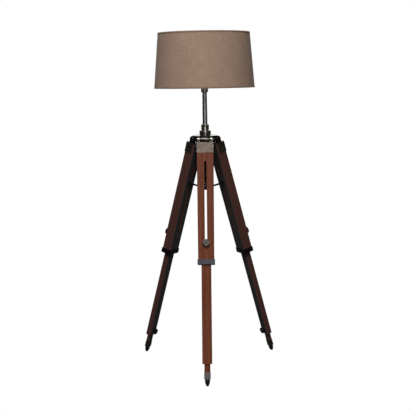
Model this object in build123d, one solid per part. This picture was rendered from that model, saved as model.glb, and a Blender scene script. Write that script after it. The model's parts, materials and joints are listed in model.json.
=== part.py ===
"""Tripod floor lamp with three folding, telescoping wooden legs and a drum shade.

Units are millimetres and +Z is up. Everything is drawn about the lamp's centre line, with its
floor at zero, and each node is moved back as it is saved, so that the origin ends up on the floor
in the middle of the lamp's box. The front leg stands towards -Y. A leg is drawn hanging straight
down from its hinge: -Z runs down the leg, -Y is its outer face and X is across it. It is then
tilted out and turned into place. A "level" on a leg is a distance down from its hinge axis.
"""

import os
from math import cos, radians, sin, tan

from build123d import *

# Overall layout
LEG_NAMES = ("front", "right", "left")
LEG_STEP = 360 / len(LEG_NAMES)
SPLAY = 16.27              # lean of each leg from the vertical, degrees
LEG_LENGTH = 1100.0        # hinge axis to the floor, along the leg
HINGE_RADIUS = 48.4        # hinge axis from the lamp's centre line
POLE_RISE = 145.0          # pole seen between its collar and the lamp-holder cup
SHADE_HEIGHT = 247.4
SHADE_TOP_RADIUS = 208.1
SHADE_BOTTOM_RADIUS = 228.6
SHADE_OVERHANG = 20.6      # cup floor up to the shade's lower edge

# Clearances
RUNNING_GAP = 0.05         # radial, shaft in a turning or sliding bore
FACE_GAP = 0.3             # between faces that move past each other
WOOD_GAP = 0.4             # per side, a wooden stage in its channel
SEAT_GAP = 0.1             # per side, metal sleeve on wood and other fixed seats

# Upper leg stage
UPPER_TOP_WIDTH = 75.4
UPPER_BOTTOM_WIDTH = 71.4
UPPER_DEPTH = 45.0
UPPER_TOP = 20.6
UPPER_BOTTOM = 566.5
WOOD_ROUND = 1.6           # eased long edges
SLOT_WIDTH = 10.8
SLOT_TOP = 102.9
CHANNEL_ROOF = 88.0        # level of the closed top of the inner channel

# Middle leg stage
MIDDLE_WIDTH = 43.3
MIDDLE_DEPTH = 27.2
MIDDLE_BOTTOM = 1004.9
CLAMP_LEVEL = 474.0        # clamp stud
CLAMP_INSET = 18.0         # stud below the stage's top end
BORE_ROOF_ABOVE = 128.0    # closed end of the bore for the foot stage, above the lock bolt

# Foot stage
FOOT_WIDTH = 26.4
FOOT_DEPTH = 17.5
LOCK_LEVEL = 982.5         # lock bolt
FOOT_TRAVEL = 90.0
FOOT_OVERLAP = 26.0        # stage above the upper end of its slot
INDEX_HOLE_BELOW = 35.0
INDEX_HOLE_RADIUS = 2.2

# Ferrule and tip
FERRULE_TOP = 1040.4
FERRULE_BOTTOM = 1070.5
FERRULE_WALL = 0.9
FERRULE_FLOOR = 1.0
FERRULE_RIM = 0.6
FERRULE_RIM_HEIGHT = 3.0
TIP_TOP_RADIUS = 11.3
TIP_END_RADIUS = 5.2
TIP_BELLY_RADIUS = 10.5    # halfway down the tip's rounded flank
TIP_SPIGOT_RADIUS = 5.0
TIP_SPIGOT_LENGTH = 18.0
TIP_SPIGOT_ROOM = 1.0      # bore left free above the spigot

# Hinge
BARREL_RADIUS = 13.5
KNUCKLE_LENGTH = 44.0
EAR_WIDTH = 13.2
EAR_WEB_DEPTH = 24.0
BOLT_RADIUS = 4.0
BOLT_HEAD_RADIUS = 7.5
BOLT_HEAD_HEIGHT = 3.6
BOLT_END = 3.0

# Leg cap
CAP_WALL = 1.8
CAP_ROOF = 3.0
CAP_BOTTOM = 65.6
CAP_BACK = 12.5            # side plates end this far behind the leg's centre line
CAP_SCREW_LEVELS = (32.5, 53.5)
CAP_SCREW_OFFSET = -4.5
SCREW_RADIUS = 1.9
SCREW_LENGTH = 14.0
SCREW_HEAD_RADIUS = 3.9
SCREW_HEAD_HEIGHT = 2.2
SCREW_NOTCH_WIDTH = 0.8
SCREW_NOTCH_DEPTH = 0.7

# Band at the foot of the upper stage
BAND_WALL = 2.9
BAND_TOP = 546.1
BAND_LIP = 2.2
BAND_ROUND = 2.4

# Clamp knob, turned on the outer face of the upper stage
CLAMP_KNOB_RADIUS = 15.6
CLAMP_KNOB_HEIGHT = 11.6
CLAMP_NECK_RADIUS = 9.0
CLAMP_NECK_HEIGHT = 6.0
CLAMP_WASHER_RADIUS = 12.6
CLAMP_WASHER_HEIGHT = 1.6
STUD_RADIUS = 4.0
STUD_DEPTH = 11.0          # stud inside the middle stage
INSERT_RADIUS = 6.5
INSERT_LENGTH = 13.0

# Lock knob, turned on the inner face of the middle stage
LOCK_KNOB_RADIUS = 14.5
LOCK_KNOB_HEIGHT = 8.4
LOCK_NECK_RADIUS = 7.2
LOCK_NECK_HEIGHT = 6.0
LOCK_BOLT_RADIUS = 3.0
LOCK_BOLT_PROUD = 1.2
KNURL_COUNT = 30
KNURL_DEPTH = 0.9
KNOB_ROUND = 1.2
KNOB_DISH = 1.6            # depth of the knob face's dished ring
KNOB_DISH_SHARE = 0.62     # dished ring's outer radius, as a share of the knob's
KNOB_BOSS_SHARE = 0.30     # boss inside the ring

# Brace between the legs
BRACE_LEVEL = 211.5        # bracket pins
BRACE_STANDOFF = 9.0       # bracket pins proud of the leg's inner face
BRACKET_WIDTH = 32.0
BRACKET_HEIGHT = 29.0
BRACKET_BRIDGE = 3.0       # plate above the open-ended slot
BRACKET_ROUND = 3.0
BRACKET_PLATE = 2.4
BRACKET_EAR = 3.0
BRACKET_EAR_RADIUS = 5.4
BRACKET_SCREW_SPREAD = 10.8
LINK_THICKNESS = 6.0
LINK_WIDTH = 8.0
LINK_EYE_RADIUS = 5.0
LINK_PIN_RADIUS = 2.0
LINK_SIDE_GAP = 0.4
PIN_PROUD = 1.0            # pins and rivets past the faces that they hold
SPREADER_PIN_RADIUS = 17.0  # collar pins from the lamp's centre line
SPREADER_PIN_DROP = 11.2    # collar pins below the bracket pins with the legs spread
SPREADER_RADIUS = 10.5
SPREADER_ABOVE_PIN = 10.0
SPREADER_BELOW_PIN = 5.2
SPREADER_LUG = 3.0
SPREADER_LUG_RADIUS = 5.0
ROD_RADIUS = 7.0
ROD_SOCKET_DEPTH = 22.0
ROD_NUT_HEIGHT = 7.2
ROD_NUT_RADIUS = 9.2
ROD_THREAD_STEP = 1.0      # thread's root inside the rod's surface

# Hub, collar and pole
HUB_DRUM_RADIUS = 24.0
HUB_BOSS_RADIUS = 14.0
HUB_BOSS_DROP = 22.0       # boss below the hinge axes
HUB_LUG_DROP = 10.0
DOME_RADIUS = 58.5
DOME_EDGE = 1.4
DOME_RISE = 5.6
DOME_SHOULDER = 3.9        # height of the dome halfway out
DOME_CLEARANCE = 0.8       # under the dome, over the leg ears
COLLAR_LOW_RADIUS = 26.0
COLLAR_LOW_HEIGHT = 19.8
COLLAR_LOW_ROUND = 3.5
COLLAR_GROOVE_RADIUS = 15.6
COLLAR_GROOVE = 1.6
COLLAR_TOP_RADIUS = 17.9
COLLAR_TOP_HEIGHT = 25.0
COLLAR_TOP_ROUND = 1.6
COLLAR_FLOOR = 3.0
COLLAR_SPIGOT_RADIUS = 9.0
SET_SCREW_RADIUS = 2.5
SET_SCREW_INSET = 0.8      # screw's outer end inside the collar's surface
SET_SCREW_SOCKET = 2.5
SET_SCREW_BELOW_RIM = 9.0
POLE_BOTTOM_RADIUS = 11.6
POLE_TOP_RADIUS = 10.5
POLE_BORE = 7.6
CORD_HOLE_RADIUS = 3.4
BUSH_RADIUS = 5.6
BUSH_FLANGE_RADIUS = 7.6
BUSH_FLANGE = 2.2
BUSH_HEIGHT = 10.0         # axis above the collar's base

# Lamp holder and bulb
CUP_RADIUS = 16.0
CUP_HEIGHT = 29.0
CUP_WALL = 1.4
CUP_ROUND = 3.5
CUP_SPIGOT = 12.0
HOLDER_RADIUS = 17.4
HOLDER_RISE = 42.0         # holder seen above its cup
HOLDER_WALL = 3.6
HOLDER_STEP = 4.0
FLANGE_RADIUS = 20.6
FLANGE_LEVEL = 8.0
FLANGE_THICKNESS = 3.0
SHADE_RING_RADIUS = 23.5
SHADE_RING_HEIGHT = 7.5
CONTACT_HEIGHT = 5.0
BULB_CAP_RADIUS = 13.1
BULB_CAP_HEIGHT = 26.0
BULB_CAP_TIP = 3.0
BULB_CAP_TIP_RADII = (4.5, 10.5)
BULB_THREAD_PITCH = 3.6
BULB_THREAD_RADIUS = 1.2
BULB_RADIUS = 30.0
BULB_HEIGHT = 80.0         # glass above its cap
BULB_NECK_RADIUS = 12.6
BULB_NECK_HEIGHT = 8.0
BULB_SHOULDER = 25.0       # degrees below the globe's equator where the flank leaves it
GLASS_WALL = 1.0

# Shade
FABRIC_THICKNESS = 1.0
LINER_THICKNESS = 0.8
WIRE_RADIUS = 2.0
WIRE_INSET = 4.0           # ring wire centres inside the shade's edges
SPIDER_THICKNESS = 2.6
SPIDER_STRAIGHT = 22.0     # level run of each spider arm before it falls to the ring
SPIDER_BEND = 18.0
SPIDER_WIRE_RADIUS = 2.2
GALLERY_RADIUS = 27.0      # flat ring of the spider, seated on the holder's shoulder

# Worked out from the sizes above
FOOT_RADIUS = HINGE_RADIUS + LEG_LENGTH * sin(radians(SPLAY))
SETBACK = (FOOT_RADIUS + TIP_END_RADIUS - SHADE_BOTTOM_RADIUS) / 2
HINGE_HEIGHT = LEG_LENGTH * cos(radians(SPLAY))
CLAMP_TOP = CLAMP_LEVEL - CLAMP_INSET
FOOT_TOP = LOCK_LEVEL - FOOT_TRAVEL - FOOT_OVERLAP
OUTER_FACE = -UPPER_DEPTH / 2
INNER_FACE = UPPER_DEPTH / 2
BRACE_OFFSET = INNER_FACE + BRACE_STANDOFF
BRACE_PIN_RADIUS = HINGE_RADIUS + BRACE_LEVEL * sin(radians(SPLAY)) - BRACE_OFFSET * cos(radians(SPLAY))
BRACE_PIN_HEIGHT = HINGE_HEIGHT - BRACE_LEVEL * cos(radians(SPLAY)) - BRACE_OFFSET * sin(radians(SPLAY))
SPREADER_PIN_HEIGHT = BRACE_PIN_HEIGHT - SPREADER_PIN_DROP
LINK_REACH = BRACE_PIN_RADIUS - SPREADER_PIN_RADIUS
LINK_LENGTH = (LINK_REACH**2 + SPREADER_PIN_DROP**2) ** 0.5
DOME_BASE = HINGE_HEIGHT + BARREL_RADIUS + DOME_CLEARANCE
COLLAR_BASE = DOME_BASE + DOME_RISE
COLLAR_LOW_TOP = COLLAR_BASE + COLLAR_LOW_HEIGHT
COLLAR_RIM = COLLAR_LOW_TOP + COLLAR_GROOVE + COLLAR_TOP_HEIGHT
CUP_BASE = COLLAR_RIM + POLE_RISE
CUP_TOP = CUP_BASE + CUP_HEIGHT
HOLDER_TOP = CUP_TOP + HOLDER_RISE
FLANGE_TOP = CUP_TOP + FLANGE_LEVEL + FLANGE_THICKNESS
SHADE_BOTTOM = CUP_BASE + SHADE_OVERHANG
SHADE_TOP = SHADE_BOTTOM + SHADE_HEIGHT
SPREADER_BOTTOM = SPREADER_PIN_HEIGHT - SPREADER_BELOW_PIN
ROD_END = SPREADER_BOTTOM - FACE_GAP - ROD_NUT_HEIGHT


def leg_bar(top, bottom, width, depth):
    """Straight bar along the leg, between two levels."""
    return Pos(0, 0, -(top + bottom) / 2) * Box(width, depth, bottom - top)


def cross_pin(radius, start, end, level, across=0.0):
    """Round pin through the leg from front to back, between two Y values."""
    middle = Pos(across, (start + end) / 2, -level)
    return middle * Rot(90, 0, 0) * Cylinder(radius, end - start)


def side_pin(radius, start, end, height=0.0, offset=0.0):
    """Round pin across the leg, between two X values."""
    middle = Pos((start + end) / 2, offset, height)
    return middle * Rot(0, 90, 0) * Cylinder(radius, end - start)


def long_slot(width, top, bottom, depth):
    """Round-ended slot along the leg that passes through from front to back."""
    radius = width / 2
    web = Pos(0, 0, -(top + bottom) / 2) * Box(width, depth, bottom - top - width)
    high_end = cross_pin(radius, -depth / 2, depth / 2, top + radius)
    low_end = cross_pin(radius, -depth / 2, depth / 2, bottom - radius)
    return web + high_end + low_end


def long_edges(shape, least):
    """Edges of a bar that run along the leg."""
    return shape.edges().filter_by(lambda edge: edge.length > least)


def upper_width(level):
    """Width of the upper stage at a level."""
    share = (level - UPPER_TOP) / (UPPER_BOTTOM - UPPER_TOP)
    return UPPER_TOP_WIDTH + share * (UPPER_BOTTOM_WIDTH - UPPER_TOP_WIDTH)


def upper_outline(top, bottom, gap=0.0):
    """Outside of the upper stage between two levels, grown by a gap on every side."""
    depth = UPPER_DEPTH + 2 * gap
    high = Pos(0, 0, -top) * Rectangle(upper_width(top) + 2 * gap, depth)
    low = Pos(0, 0, -bottom) * Rectangle(upper_width(bottom) + 2 * gap, depth)
    return loft([high, low])


def channel(top, bottom):
    """Room in the upper stage for the middle stage to slide in."""
    return leg_bar(top, bottom, MIDDLE_WIDTH + 2 * WOOD_GAP, MIDDLE_DEPTH + 2 * WOOD_GAP)


def cap_screw_places():
    """Side, and level, of each screw of a leg cap."""
    return [(side, level) for side in (-1, 1) for level in CAP_SCREW_LEVELS]


def cap_screw_pin(side, level, radius, length):
    """Round pin from outside the cap's side plate into the wood."""
    surface = upper_width(UPPER_TOP) / 2 + SEAT_GAP + CAP_WALL
    ends = sorted((side * (surface - length), side * (surface + SEAT_GAP)))
    return side_pin(radius, ends[0], ends[1], -level, CAP_SCREW_OFFSET)


def bracket_screw_places():
    """Corners of the brace bracket's four screws, as X and level."""
    rise = BRACKET_HEIGHT / 2 - SCREW_HEAD_RADIUS - BRACKET_ROUND / 2
    sides = (-BRACKET_SCREW_SPREAD, BRACKET_SCREW_SPREAD)
    return [(x, BRACE_LEVEL + z) for x in sides for z in (-rise, rise)]


def build_upper_leg():
    """Slotted wooden box leg with an inner channel open at its foot."""
    body = upper_outline(UPPER_TOP, UPPER_BOTTOM)
    body = fillet(long_edges(body, UPPER_BOTTOM / 2), WOOD_ROUND)
    body -= channel(CHANNEL_ROOF, UPPER_BOTTOM + 1)
    body -= long_slot(SLOT_WIDTH, SLOT_TOP, CLAMP_LEVEL + SLOT_WIDTH / 2, 2 * UPPER_DEPTH)
    for side, level in cap_screw_places():
        body -= cap_screw_pin(side, level, SCREW_RADIUS, SCREW_LENGTH + SEAT_GAP)
    for x, level in bracket_screw_places():
        body -= cross_pin(SCREW_RADIUS, 0, UPPER_DEPTH, level, x)
    return body


def build_leg_cap():
    """Folded plate cap on the leg's head, with the two hinge ears."""
    wall_width = UPPER_TOP_WIDTH + 2 * SEAT_GAP + 2 * CAP_WALL
    front = OUTER_FACE - SEAT_GAP - CAP_WALL
    roof_level = UPPER_TOP - CAP_ROOF
    sleeve = Pos(0, (front + CAP_BACK) / 2, -(roof_level + CAP_BOTTOM) / 2) * Box(
        wall_width, CAP_BACK - front, CAP_BOTTOM - roof_level
    )
    sleeve = fillet(sleeve.edges().filter_by(Axis.Z).sort_by(Axis.Y)[:2], CAP_WALL)
    sleeve -= upper_outline(UPPER_TOP, CAP_BOTTOM + 1, SEAT_GAP)
    roof = Pos(0, (front + INNER_FACE) / 2, -(roof_level + UPPER_TOP) / 2) * Box(
        wall_width - 2 * CAP_WALL, INNER_FACE - front - CAP_WALL, CAP_ROOF
    )
    cap = sleeve + roof
    for side in (-1, 1):
        inner = side * (KNUCKLE_LENGTH / 2 + FACE_GAP)
        ends = sorted((inner, inner + side * EAR_WIDTH))
        barrel = side_pin(BARREL_RADIUS, ends[0], ends[1])
        web_height = roof_level + CAP_ROOF / 2
        web = Pos(sum(ends) / 2, 0, -web_height / 2) * Box(EAR_WIDTH, EAR_WEB_DEPTH, web_height)
        cap += barrel + web
    cap -= side_pin(BOLT_RADIUS + RUNNING_GAP, -UPPER_TOP_WIDTH, UPPER_TOP_WIDTH)
    for side, level in cap_screw_places():
        cap -= cap_screw_pin(side, level, SCREW_RADIUS + SEAT_GAP, SCREW_LENGTH)
    return cap


def screw(length):
    """Round-headed wood screw that points down -Z from its head."""
    shank = Pos(0, 0, -length / 2) * Cylinder(SCREW_RADIUS - SEAT_GAP, length)
    head = Pos(0, 0, SCREW_HEAD_HEIGHT / 2) * Cylinder(SCREW_HEAD_RADIUS, SCREW_HEAD_HEIGHT)
    head = fillet(head.edges().sort_by(Axis.Z)[-1:], SCREW_HEAD_HEIGHT * 0.7)
    notch_box = Box(2 * SCREW_HEAD_RADIUS, SCREW_NOTCH_WIDTH, 2 * SCREW_NOTCH_DEPTH)
    notch = Pos(0, 0, SCREW_HEAD_HEIGHT) * notch_box
    return shank + (head - notch)


def build_cap_screws():
    """The four screws that hold the cap on its leg."""
    surface = UPPER_TOP_WIDTH / 2 + SEAT_GAP + CAP_WALL
    screws = []
    for side, level in cap_screw_places():
        place = Pos(side * surface, CAP_SCREW_OFFSET, -level) * Rot(0, 90 * side, 0)
        screws.append(place * screw(SCREW_LENGTH - 1))
    return Compound(children=screws)


def build_hinge_bolt():
    """Hinge bolt with a domed head, and the domed nut on its far end."""
    reach = KNUCKLE_LENGTH / 2 + FACE_GAP + EAR_WIDTH
    shank = side_pin(BOLT_RADIUS, -reach, reach + BOLT_END)
    head = side_pin(BOLT_HEAD_RADIUS, -reach - BOLT_HEAD_HEIGHT, -reach)
    head = fillet(head.edges().sort_by(Axis.X)[:1], BOLT_HEAD_HEIGHT * 0.6)
    nut = side_pin(BOLT_HEAD_RADIUS, reach, reach + BOLT_END + BOLT_HEAD_HEIGHT / 2)
    nut = fillet(nut.edges().sort_by(Axis.X)[-1:], BOLT_HEAD_HEIGHT * 0.6)
    nut -= side_pin(BOLT_RADIUS + RUNNING_GAP, reach - 1, reach + BOLT_END + RUNNING_GAP)
    return Compound(children=[shank + head, nut])


def build_leg_band():
    """Metal sleeve round the foot of the upper stage, with a lip under the wood."""
    bottom = UPPER_BOTTOM + BAND_LIP
    width = upper_width(BAND_TOP) + 2 * BAND_WALL
    depth = UPPER_DEPTH + 2 * BAND_WALL
    band = leg_bar(BAND_TOP, bottom, width, depth)
    band = fillet(band.edges().filter_by(Axis.Z), BAND_ROUND)
    band -= upper_outline(BAND_TOP - 1, UPPER_BOTTOM, SEAT_GAP)
    return band - channel(BAND_TOP, bottom + 1)


def build_middle_leg():
    """Middle stage: solid above, bored below for the foot stage."""
    body = leg_bar(CLAMP_TOP, MIDDLE_BOTTOM, MIDDLE_WIDTH, MIDDLE_DEPTH)
    body = fillet(long_edges(body, FOOT_TRAVEL), WOOD_ROUND)
    width = FOOT_WIDTH + 2 * WOOD_GAP
    depth = FOOT_DEPTH + 2 * WOOD_GAP
    body -= leg_bar(LOCK_LEVEL - BORE_ROOF_ABOVE, MIDDLE_BOTTOM + 1, width, depth)
    body -= cross_pin(INSERT_RADIUS, -MIDDLE_DEPTH, INSERT_LENGTH - MIDDLE_DEPTH / 2, CLAMP_LEVEL)
    return body - cross_pin(LOCK_BOLT_RADIUS + RUNNING_GAP, -MIDDLE_DEPTH, MIDDLE_DEPTH, LOCK_LEVEL)


def build_clamp_insert():
    """Threaded metal insert that takes the clamp stud."""
    face = -MIDDLE_DEPTH / 2
    body = cross_pin(INSERT_RADIUS - RUNNING_GAP, face, face + INSERT_LENGTH, CLAMP_LEVEL)
    return body - cross_pin(STUD_RADIUS + RUNNING_GAP, face - 1, face + STUD_DEPTH + 1, CLAMP_LEVEL)


def knurl(shape, radius, height, count):
    """Cut V grooves up the side of a disc that is centred on the origin."""
    side = KNURL_DEPTH * 2**0.5
    for spot in PolarLocations(radius, count):
        shape -= spot * Rot(0, 0, 45) * Box(side, side, 2 * height)
    return shape


def knurled_disc(radius, height):
    """Knurled knob head on +Z, with its foot on the origin and a shallow dished face."""
    disc = Pos(0, 0, height / 2) * Cylinder(radius, height)
    disc = fillet(disc.edges().filter_by(GeomType.CIRCLE), KNOB_ROUND)
    disc -= Pos(0, 0, height) * Cylinder(radius * KNOB_DISH_SHARE, 2 * KNOB_DISH)
    disc += Pos(0, 0, height - KNOB_DISH) * Cylinder(radius * KNOB_BOSS_SHARE, 2 * KNOB_DISH)
    return knurl(disc, radius, height, KNURL_COUNT)


def build_clamp_knob():
    """Clamp knob with its washer face, neck and stud, on the outer face."""
    face = OUTER_FACE - FACE_GAP
    washer_end = face - CLAMP_WASHER_HEIGHT
    knob = cross_pin(CLAMP_WASHER_RADIUS, washer_end, face, CLAMP_LEVEL)
    stud_end = -MIDDLE_DEPTH / 2 + STUD_DEPTH
    knob += cross_pin(STUD_RADIUS, face, stud_end, CLAMP_LEVEL)
    neck_end = washer_end - CLAMP_NECK_HEIGHT
    knob += cross_pin(CLAMP_NECK_RADIUS, neck_end, washer_end, CLAMP_LEVEL)
    head = knurled_disc(CLAMP_KNOB_RADIUS, CLAMP_KNOB_HEIGHT)
    return knob + Pos(0, neck_end, -CLAMP_LEVEL) * Rot(90, 0, 0) * head


def build_foot_leg():
    """Foot stage: a slim slotted bar."""
    body = leg_bar(FOOT_TOP, FERRULE_BOTTOM - FERRULE_FLOOR, FOOT_WIDTH, FOOT_DEPTH)
    body = fillet(long_edges(body, FOOT_TRAVEL), WOOD_ROUND / 2)
    half = LOCK_BOLT_RADIUS + FACE_GAP
    body -= long_slot(2 * half, LOCK_LEVEL - FOOT_TRAVEL - half, LOCK_LEVEL + half, 2 * FOOT_DEPTH)
    body -= cross_pin(INDEX_HOLE_RADIUS, 0, FOOT_DEPTH, LOCK_LEVEL + INDEX_HOLE_BELOW)
    tip_bore = Cylinder(TIP_SPIGOT_RADIUS + RUNNING_GAP, TIP_SPIGOT_LENGTH)
    return body - Pos(0, 0, -FERRULE_BOTTOM + TIP_SPIGOT_LENGTH / 2) * tip_bore


def build_foot_knob():
    """Lock knob on the inner face, with the bolt that crosses the foot stage's slot."""
    face = MIDDLE_DEPTH / 2 + FACE_GAP
    neck_end = face + LOCK_NECK_HEIGHT
    knob = cross_pin(LOCK_NECK_RADIUS, face, neck_end, LOCK_LEVEL)
    knob += cross_pin(LOCK_BOLT_RADIUS, -MIDDLE_DEPTH / 2 - LOCK_BOLT_PROUD, face, LOCK_LEVEL)
    head = knurled_disc(LOCK_KNOB_RADIUS, LOCK_KNOB_HEIGHT)
    return knob + Pos(0, neck_end, -LOCK_LEVEL) * Rot(-90, 0, 0) * head


def build_ferrule():
    """Drawn metal ferrule round the end of the foot stage, rimmed at its mouth."""
    width = FOOT_WIDTH + 2 * (SEAT_GAP + FERRULE_WALL)
    depth = FOOT_DEPTH + 2 * (SEAT_GAP + FERRULE_WALL)
    sleeve = leg_bar(FERRULE_TOP, FERRULE_BOTTOM, width, depth)
    sleeve = fillet(sleeve.edges().filter_by(Axis.Z), FERRULE_WALL + WOOD_ROUND / 2)
    rim_top = FERRULE_BOTTOM - FERRULE_RIM_HEIGHT
    rim = leg_bar(rim_top, FERRULE_BOTTOM, width + 2 * FERRULE_RIM, depth + 2 * FERRULE_RIM)
    rim = fillet(rim.edges().filter_by(Axis.Z), 2 * FERRULE_RIM)
    rim = fillet(rim.edges().filter_by(Axis.Z, reverse=True), FERRULE_RIM * 0.7)
    hollow_width = FOOT_WIDTH + 2 * SEAT_GAP
    hollow_depth = FOOT_DEPTH + 2 * SEAT_GAP
    ferrule = sleeve + rim
    ferrule -= leg_bar(FERRULE_TOP - 1, FERRULE_BOTTOM - FERRULE_FLOOR, hollow_width, hollow_depth)
    return ferrule - Pos(0, 0, -FERRULE_BOTTOM) * Cylinder(TIP_SPIGOT_RADIUS + RUNNING_GAP, 4 * FERRULE_FLOOR)


def build_foot_tip():
    """Black bullet-shaped tip on a spigot, cut flat where it stands on the floor."""
    length = LEG_LENGTH - FERRULE_BOTTOM - SEAT_GAP
    past_floor = 2 * TIP_END_RADIUS * tan(radians(SPLAY))
    flank = ThreePointArc((TIP_TOP_RADIUS, 0), (TIP_BELLY_RADIUS, -length / 2), (TIP_END_RADIUS, -length))
    bottom = -length - past_floor
    top = Line((0, 0), (TIP_TOP_RADIUS, 0))
    end = Polyline((TIP_END_RADIUS, -length), (TIP_END_RADIUS, bottom), (0, bottom), (0, 0))
    bullet = revolve(Plane.XZ * make_face(top + flank + end), Axis.Z)
    spigot_length = TIP_SPIGOT_LENGTH - TIP_SPIGOT_ROOM
    spigot = Pos(0, 0, spigot_length / 2) * Cylinder(TIP_SPIGOT_RADIUS, spigot_length)
    tip = Pos(0, 0, -FERRULE_BOTTOM - SEAT_GAP) * (bullet + spigot)
    floor_depth = 2 * TIP_TOP_RADIUS
    floor = Pos(0, 0, -HINGE_HEIGHT - floor_depth / 2) * Box(4 * TIP_TOP_RADIUS, 2 * LEG_LENGTH, floor_depth)
    return tip - Rot(SPLAY, 0, 0) * floor


def build_link_bracket():
    """Brace bracket on the leg's inner face: slotted plate, two ears and a short rivet in each."""
    plate_face = INNER_FACE + BRACKET_PLATE
    plate = Box(BRACKET_WIDTH, BRACKET_PLATE, BRACKET_HEIGHT)
    bracket = Pos(0, INNER_FACE + BRACKET_PLATE / 2, -BRACE_LEVEL) * plate
    bracket = fillet(bracket.edges().filter_by(Axis.Y), BRACKET_ROUND)
    slot_top = BRACE_LEVEL - BRACKET_HEIGHT / 2 + BRACKET_BRIDGE
    bracket -= leg_bar(slot_top, BRACE_LEVEL + BRACKET_HEIGHT, SLOT_WIDTH, 2 * UPPER_DEPTH)
    rivet_gap = LINK_THICKNESS / 2 + LINK_SIDE_GAP
    for side in (-1, 1):
        inner = side * SLOT_WIDTH / 2
        ends = sorted((inner, inner + side * BRACKET_EAR))
        ear = side_pin(BRACKET_EAR_RADIUS, ends[0], ends[1], -BRACE_LEVEL, BRACE_OFFSET)
        web = Pos(sum(ends) / 2, (plate_face + BRACE_OFFSET) / 2, -BRACE_LEVEL) * Box(
            BRACKET_EAR, BRACE_OFFSET - plate_face, 2 * BRACKET_EAR_RADIUS
        )
        rivet_ends = sorted((side * rivet_gap, side * (SLOT_WIDTH / 2 + BRACKET_EAR + PIN_PROUD)))
        rivet = side_pin(LINK_PIN_RADIUS, rivet_ends[0], rivet_ends[1], -BRACE_LEVEL, BRACE_OFFSET)
        bracket += ear + web + rivet
    for x, level in bracket_screw_places():
        head = Pos(x, plate_face, -level) * Rot(-90, 0, 0) * screw(SCREW_LENGTH / 2)
        bracket += head
    return bracket


def build_spreader_link():
    """Flat black link, from its collar pin at the origin out along -Y."""
    bar = Pos(0, -LINK_LENGTH / 2, 0) * Box(LINK_THICKNESS, LINK_LENGTH, LINK_WIDTH)
    half = LINK_THICKNESS / 2
    for offset in (0, -LINK_LENGTH):
        bar += side_pin(LINK_EYE_RADIUS, -half, half, 0, offset)
    bar -= side_pin(LINK_PIN_RADIUS + RUNNING_GAP, -half, half)
    bar -= side_pin(LINK_PIN_RADIUS + FACE_GAP, -half, half, 0, -LINK_LENGTH)
    return bar


def place_link(shape):
    """Put a link between its collar pin and its bracket pin, for the front leg."""
    slope = Location((0, 0, 0), (-link_slope(), 0, 0))
    return Pos(0, -SPREADER_PIN_RADIUS, SPREADER_PIN_HEIGHT) * slope * shape


def link_slope():
    """Upward slope of a link towards its leg, in degrees."""
    return Vector(LINK_REACH, SPREADER_PIN_DROP).get_angle(Vector(1, 0))


def around_legs(shape, index):
    """Turn something built for the front leg to another leg."""
    return Rot(0, 0, index * LEG_STEP) * shape


def build_spreader_collar():
    """Sliding collar with a pair of lugs for each link."""
    height = SPREADER_ABOVE_PIN + SPREADER_BELOW_PIN
    collar = Pos(0, 0, SPREADER_BOTTOM + height / 2) * Cylinder(SPREADER_RADIUS, height)
    collar = fillet(collar.edges().filter_by(GeomType.CIRCLE), 1)
    for index in range(len(LEG_NAMES)):
        for side in (-1, 1):
            inner = side * (LINK_THICKNESS / 2 + LINK_SIDE_GAP)
            ends = sorted((inner, inner + side * SPREADER_LUG))
            lug = side_pin(SPREADER_LUG_RADIUS, ends[0], ends[1], SPREADER_PIN_HEIGHT, -SPREADER_PIN_RADIUS)
            root = SPREADER_RADIUS / 2
            web_length = SPREADER_PIN_RADIUS - root
            web = Pos(sum(ends) / 2, -(SPREADER_PIN_RADIUS + root) / 2, SPREADER_PIN_HEIGHT)
            lug += web * Box(SPREADER_LUG, web_length, 2 * SPREADER_LUG_RADIUS)
            collar += around_legs(lug, index)
        eye_room = Pos(0, -SPREADER_PIN_RADIUS, SPREADER_PIN_HEIGHT) * Rot(0, 90, 0) * Cylinder(
            LINK_EYE_RADIUS + FACE_GAP, LINK_THICKNESS + 2 * LINK_SIDE_GAP
        )
        reach = 2 * SPREADER_PIN_RADIUS
        bore = LINK_PIN_RADIUS + RUNNING_GAP
        pin_room = side_pin(bore, -reach / 2, reach / 2, SPREADER_PIN_HEIGHT, -SPREADER_PIN_RADIUS)
        collar -= around_legs(eye_room, index)
        collar -= around_legs(pin_room, index)
    return collar - Pos(0, 0, SPREADER_PIN_HEIGHT) * Cylinder(ROD_RADIUS + RUNNING_GAP, 4 * height)


def build_link_pins():
    """The three pins that the links turn on at the collar."""
    reach = LINK_THICKNESS / 2 + LINK_SIDE_GAP + SPREADER_LUG + PIN_PROUD
    pins = []
    for index in range(len(LEG_NAMES)):
        pin = side_pin(LINK_PIN_RADIUS, -reach, reach, SPREADER_PIN_HEIGHT, -SPREADER_PIN_RADIUS)
        pins.append(around_legs(pin, index))
    return Compound(children=pins)


def build_centre_rod():
    """Rod under the hub that guides the spreader collar, chamfered at its foot."""
    top = HINGE_HEIGHT - HUB_BOSS_DROP + ROD_SOCKET_DEPTH
    rod = Pos(0, 0, (top + ROD_END) / 2) * Cylinder(ROD_RADIUS, top - ROD_END)
    rod = chamfer(rod.edges().sort_by(Axis.Z)[:1], 1)
    room = Cylinder(2 * ROD_RADIUS, ROD_NUT_HEIGHT) - Cylinder(ROD_RADIUS - ROD_THREAD_STEP, ROD_NUT_HEIGHT)
    return rod - Pos(0, 0, ROD_END + ROD_NUT_HEIGHT / 2) * room


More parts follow.
